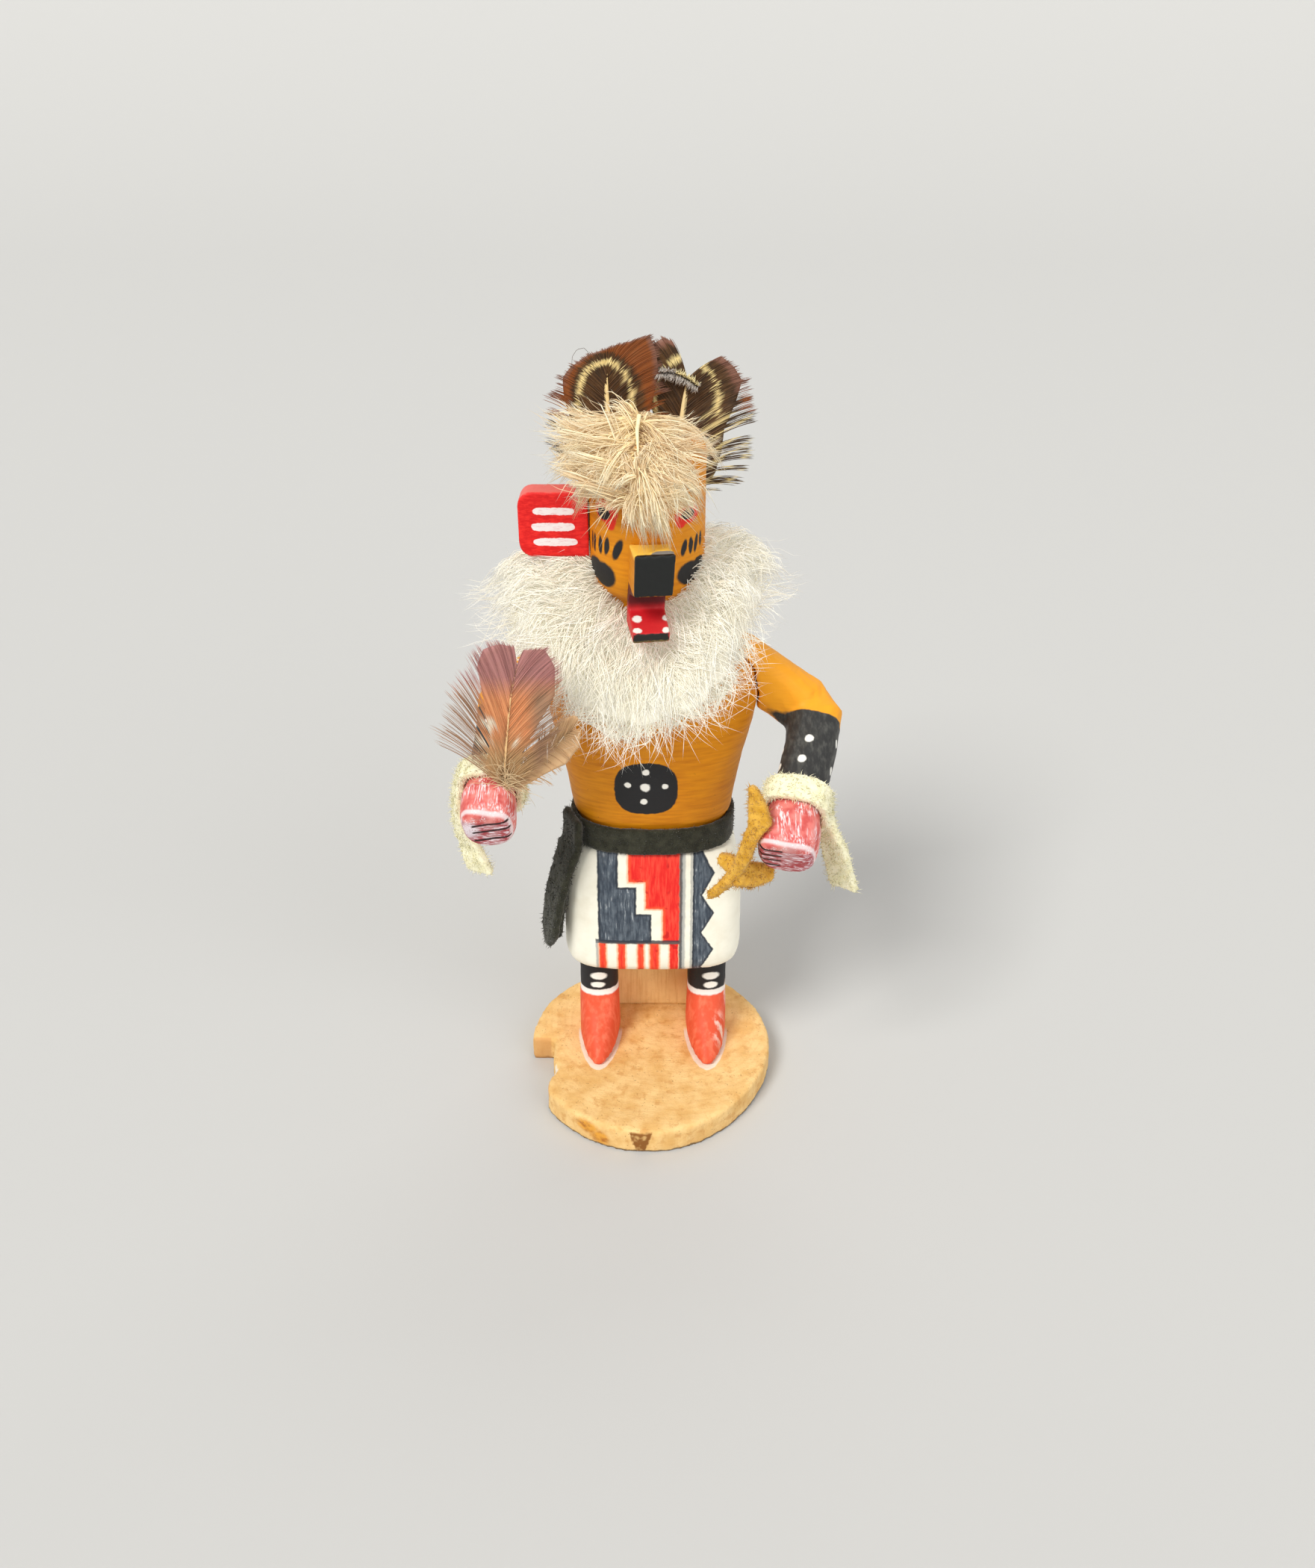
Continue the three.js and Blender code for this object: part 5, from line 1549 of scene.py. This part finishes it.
# %% A whole feather
def feather(
    name,
    spine,
    quill_radii,
    quill_tint,
    left,
    right,
    count,
    pattern,
    cup,
    width=0.13,
    lead=0.35,
    clump=40,
    steps=12,
    solid=((0.3, 0.6), (0.6, 0.93)),
):
    """pattern takes places across and up, the share along the barb and its random value. It gives tints."""
    sides = [vane_side(spine, tips, count, steps, cup, lead, clump) for tips in (left, right)]
    paths = np.concatenate(sides)
    u = np.broadcast_to(np.linspace(0, 1, steps)[None, :], paths.shape[:2])
    jitter = random.normal(0, 0.28, (len(paths), 1))
    tints = pattern(paths[..., 0], paths[..., 2], u, jitter)
    radii = width * np.linspace(1, 0.5, steps)[None, :] * random.uniform(0.6, 1.2, (len(paths), 1))
    barbs = strands(name + "_barbs", paths, radii, tints)
    stem = shaft(name + "_stem", spine, quill_radii, quill_tint)
    print(name, "has", len(paths), "barbs")
    return [barbs, leaf(name + "_leaf", spine, left, right, pattern, cup, lead, solid), stem]


# %% [markdown]
# ## The bands
# The crown feathers are dark brown with a cream band in the form of a horseshoe near the top. Outside it
# they are rust, with grey-brown tips. Below, narrow cream bars cross the dark. The band is a ring of equal
# distance from a middle, with its own width on either side, and a random share per barb frays its edges.

# %% The bands
def blend(first, second, share):
    share = np.clip(share, 0, 1)[..., None]
    return first * (1 - share) + second * share


def banded(middle, widths, height, dark_band, margin):
    """dark_band is how wide the dark stays outside the cream band, on the left and on the right."""
    dark, cream = rgb(64, 44, 26), rgb(252, 230, 164)
    rust, tip = rgb(146, 80, 32), rgb(142, 98, 80)

    def tint(x, z, u, jitter):
        dx = x - middle[0]
        wide = np.where(dx < 0, widths[0], widths[1])
        ring = np.sqrt((dx / wide) ** 2 + (np.maximum(z - middle[1], 0) / height) ** 2) + jitter * 0.1
        shade = np.broadcast_to(dark, (*ring.shape, 3))
        streaks = 0.5 + 0.5 * np.sin(jitter * 40 + dx)
        shade = blend(shade, np.broadcast_to(rgb(104, 72, 40), shade.shape), streaks)
        on_band = np.abs(ring - 0.91 - 0.015 * np.sin(jitter * 60)) < 0.062
        horseshoe = on_band & (z > middle[1] - 5 + jitter * 4)
        shade = np.where(horseshoe[..., None], cream, shade)
        low = np.clip((middle[1] + height - z) / height, 0, 1)
        right_band = dark_band[0] + (dark_band[1] - dark_band[0]) * low
        outer = 1.03 + np.where(dx < 0, dark_band[0], right_band)
        shade = np.where(((ring > outer) & (z > middle[1] - 4))[..., None], rust, shade)
        edge = (u > 1 - margin) & (ring > 1.08) & (z > middle[1] + 1)
        shade = np.where(edge[..., None], tip, shade)
        below = z < middle[1] - 3
        bars = below & (np.sin(z * 2.2 - np.abs(dx) * 1.3 + jitter * 3) > 0.72) & (u > 0.25)
        shade = np.where(bars[..., None], cream * 0.85, shade)
        fringe = below & ~bars & (u > 0.55)
        return np.where(fringe[..., None], rgb(84, 62, 38), shade)

    return tint


print("a quarter of the way from 0 to 1:", blend(np.zeros(1), np.ones(1), np.array(0.25))[0])

# %% [markdown]
# ## The left crown feather
# It stands behind the head and leans outwards. Its rim is given from the root to the tip on either side, and
# one stray barb at the left has curled into a loop.

# %% The left crown feather
LEFT_SPINE = [(-6.5, 19.6, 144), (-8, 19.7, 153), (-9, 19.7, 162), (-9.3, 19.6, 170), (-9.2, 19.6, 174)]
LEFT_OUTER_RIM = [
    (0, -18, 152),
    (0.12, -22.4, 157.5),
    (0.25, -22.8, 163),
    (0.4, -22, 168),
    (0.55, -20, 171.4),
    (0.7, -17.6, 174.2),
    (0.85, -13.4, 176.9),
    (1, -6.4, 179.0),
]
LEFT_INNER_RIM = [
    (0, 2.4, 150),
    (0.25, 3.6, 160),
    (0.45, 3.4, 168),
    (0.6, 2.6, 173),
    (0.75, 2.0, 177.6),
    (0.88, 0.6, 180.8),
    (1, -8.8, 178.4),
]
STRAY_LOOP = [
    (-16.8, 19.4, 173),
    (-16.6, 19.2, 174.4),
    (-16.4, 19, 176.4),
    (-15.4, 19, 177.9),
    (-13.9, 19, 178.2),
    (-12.9, 19.1, 177.2),
    (-13.1, 19.2, 176.1),
]
banded_finish = strand_material("banded_feather", 0.5, 0.3, 0.05)
crown_left = feather(
    "crown_left",
    spine=LEFT_SPINE,
    quill_radii=[1.0, 1.0, 0.95, 0.55, 0.1],
    quill_tint=(250, 220, 156),
    left=LEFT_OUTER_RIM,
    right=LEFT_INNER_RIM,
    count=250,
    pattern=banded((-9.3, 167), widths=(7.0, 5.9), height=9.0, dark_band=(0.1, 0.4), margin=0.16),
    cup=0.002,
    steps=18,
)
crown_left.append(shaft("stray_loop", STRAY_LOOP, [0.05] * len(STRAY_LOOP), (96, 82, 66)))
crown_left = merge(crown_left, "left_crown_feather")
settle(crown_left, "banded_feather", banded_finish, "crown_feather_left")

# %% [markdown]
# ## The right crown feather
# It is the same kind, split at the top. The split middle has curled over towards the front and shows its
# grey down with a cream edge. That tuft is a short comb of loose barbs along the fold.

# %% The right crown feather
RIGHT_SPINE = [(2.5, 20.9, 144), (4.8, 21.2, 152), (6.3, 21.2, 160), (7.2, 21.1, 167), (7.9, 20.8, 171.5)]
RIGHT_INNER_RIM = [
    (0, -3, 150),
    (0.25, -2.0, 158),
    (0.45, -1.5, 166),
    (0.6, -1.4, 172),
    (0.75, -0.8, 178.6),
    (0.88, 2.0, 180.2),
    (1, 4.6, 179.6),
]
RIGHT_OUTER_RIM = [
    (0, 16.5, 146.5),
    (0.1, 21, 151),
    (0.2, 22.6, 157.5),
    (0.3, 22.8, 163),
    (0.42, 22.3, 167.2),
    (0.55, 21, 170.5),
    (0.75, 18.6, 174),
    (0.9, 15.6, 176.3),
    (1, 13.2, 175),
]
FOLD = [(1.6, 20.9, 173.0), (5.0, 20.9, 172.9), (7.6, 20.9, 171.8), (10.2, 20.9, 170.0)]
crown_right = feather(
    "crown_right",
    spine=RIGHT_SPINE,
    quill_radii=[1.0, 1.0, 0.95, 0.7, 0.3],
    quill_tint=(250, 224, 166),
    left=RIGHT_INNER_RIM,
    right=RIGHT_OUTER_RIM,
    count=270,
    pattern=banded((7.0, 167.4), widths=(6.6, 8.2), height=9.2, dark_band=(0.42, 0.5), margin=0.22),
    cup=0.001,
    clump=34,
    steps=18,
)


def curled_tuft():
    count, steps = 420, 5
    s = random.random(count)
    root = along_line(s, FOLD)
    across = unit(np.array([0.45, -0.1, 1.0]))
    side = random.choice([-1.0, 1.0], count, p=[0.6, 0.4])
    reach = random.uniform(0.8, 1.9, count) * np.where(side > 0, 0.7, 1.1)
    u = np.linspace(0, 1, steps)[None, :, None]
    stray = random.normal(0, 0.35, (count, 3))
    paths = root[:, None, :] + (across * (side * reach)[:, None])[:, None, :] * u + stray[:, None, :] * u**2
    paths[:, :, 1] -= (2.2 * np.sin(u[..., 0] * math.pi * 0.8)) * random.uniform(0.4, 1, (count, 1))
    warm = ((side > 0) & (s > 0.35) & (s < 0.98))[:, None, None]
    tints = np.where(warm, rgb(255, 240, 184), rgb(206, 198, 190)) * random.uniform(0.8, 1.1, (count, 1, 1))
    radii = 0.12 * np.linspace(1, 0.3, steps)[None, :] * np.ones((count, 1))
    return strands("crown_tuft", paths, radii, tints * np.ones((count, steps, 1)))


crown_right = merge(crown_right + [curled_tuft()], "right_crown_feather")
settle(crown_right, "banded_feather", banded_finish, "crown_feather_right")

# %% [markdown]
# ## Feathers in the right fist
# A tall, broad feather stands in the right fist. It is russet with a purple-brown tip and has white spots
# near the root, and a few pale barbs curl away from its root over the fist. A smaller, sandy one leans to
# the other side. The small one has no bands, so its pattern only pales towards the rim.

# %% The tall feather's pattern
SPOTS = [
    (-33.2, 112.2, 1.5),
    (-34.9, 107.8, 1.1),
    (-33.0, 108.2, 0.8),
    (-35.8, 109.6, 0.5),
    (-27.8, 108.2, 0.8),
]


def russet(x, z, u, jitter):
    """Purple-brown at the tip, orange-brown in the middle, grey-brown with white spots at the root."""
    high = z + jitter * 2.2
    shade = blend(np.broadcast_to(rgb(196, 158, 112), (*x.shape, 3)), rgb(226, 154, 104), (high - 104.5) / 6)
    shade = blend(shade, rgb(184, 128, 124), (high - 118) / 5)
    outside = np.clip((np.abs(x + 29.6) - 4.2) / 2.5, 0, 1) * np.clip((122 - high) / 4, 0, 1)
    shade = blend(shade, rgb(172, 134, 106), outside)
    shade = shade * (1 + 0.3 * jitter[..., None])
    for across, up, radius in SPOTS:
        spot = np.hypot(x - across, (z - up) * 1.2) < radius + jitter * 0.4
        shade = np.where(spot[..., None], rgb(240, 228, 206), shade)
    return shade


near_tip = russet(np.array([[-28.0]]), np.array([[128.0]]), 1, np.zeros((1, 1)))
print("tint near the tip:", near_tip[0, 0].round(2))


# %% The tall hand feather
def root_wisps():
    """Loose pale barbs that curl away from the root of the tall feather, over the fist."""
    count, steps = 64, 8
    u = np.linspace(0, 1, steps)[None, :]
    turn = random.uniform(-0.5, 3.0, (count, 1))
    reach = random.uniform(2.5, 8, (count, 1))
    bend = turn + random.normal(0, 0.7, (count, 1)) * u
    paths = np.zeros((count, steps, 3))
    paths[..., 0] = -30.5 + random.normal(0, 0.5, (count, 1)) + reach * u * np.cos(bend)
    paths[..., 1] = -25.5 - random.uniform(0, 2.2, (count, 1)) * u
    paths[..., 2] = random.uniform(96.6, 101, (count, 1)) + reach * u * np.sin(bend) - 0.8 * u**2
    tints = rgb(236, 210, 166) * random.uniform(0.7, 1.1, (count, 1, 1)) * np.ones((1, steps, 1))
    return strands("root_wisps", paths, 0.085 * (1 - 0.6 * u) * np.ones((count, 1)), tints)


russet_finish = strand_material("russet_feather", 0.55, 0.25, 0.05)
HAND_SPINE = [
    (-30.6, -24.9, 96.4),
    (-30.4, -25.0, 103),
    (-29.4, -25.0, 111),
    (-28.2, -24.8, 119),
    (-26.6, -24.6, 125.6),
]
HAND_OUTER_RIM = [
    (0, -45.8, 108.6),
    (0.05, -43.8, 111.2),
    (0.12, -41.0, 118.2),
    (0.2, -39.6, 122),
    (0.3, -37, 124.8),
    (0.42, -35.6, 128.6),
    (0.6, -34, 130.6),
    (0.8, -30, 131),
    (1, -26.8, 129.6),
]
HAND_INNER_RIM = [
    (0, -24, 101),
    (0.1, -19.8, 107),
    (0.22, -17.8, 113),
    (0.4, -17.2, 120),
    (0.6, -17.6, 126),
    (0.8, -20.2, 129.6),
    (1, -25.2, 129),
]
tall_feather = feather(
    "hand_main",
    spine=HAND_SPINE,
    quill_radii=[0.42, 0.42, 0.32, 0.2, 0.06],
    quill_tint=(236, 196, 140),
    left=HAND_OUTER_RIM,
    right=HAND_INNER_RIM,
    count=240,
    pattern=russet,
    cup=0.004,
    width=0.09,
    lead=0.3,
    clump=150,
    solid=((0.2, 0.4, 0.7), (0.3, 0.82, 0.88)),
)
tall_feather = merge([*tall_feather, root_wisps()], "tall_hand_feather")
settle(tall_feather, "russet_feather", russet_finish, "hand_feather_main")


# %% The small hand feather
def sandy(x, z, u, jitter):
    """Pales towards the rim, wherever on the feather the barb is."""
    shade = blend(np.broadcast_to(rgb(190, 152, 110), (*x.shape, 3)), rgb(226, 186, 140), u)
    return shade * (1 + 0.12 * jitter[..., None])


SMALL_SPINE = [
    (-30, -23.9, 96.8),
    (-27, -23.8, 99.4),
    (-23, -23.4, 103.6),
    (-19, -23, 107.4),
    (-16.4, -22.7, 109.6),
]
SMALL_UPPER_RIM = [
    (0, -27, 103),
    (0.3, -23.4, 108.6),
    (0.6, -18.6, 112.6),
    (0.85, -15.6, 113.6),
    (1, -14.6, 112.4),
]
SMALL_LOWER_RIM = [
    (0, -26.4, 96),
    (0.3, -21.6, 98.2),
    (0.6, -17.6, 101.6),
    (0.85, -14.8, 105.6),
    (1, -14.2, 110),
]
small_feather = feather(
    "hand_side",
    spine=SMALL_SPINE,
    quill_radii=[0.3, 0.3, 0.25, 0.18, 0.06],
    quill_tint=(226, 190, 140),
    left=SMALL_UPPER_RIM,
    right=SMALL_LOWER_RIM,
    count=120,
    pattern=sandy,
    cup=0.001,
    width=0.1,
    lead=0.25,
    clump=30,
)
settle(merge(small_feather, "small_hand_feather"), "russet_feather", russet_finish, "hand_feather_side")
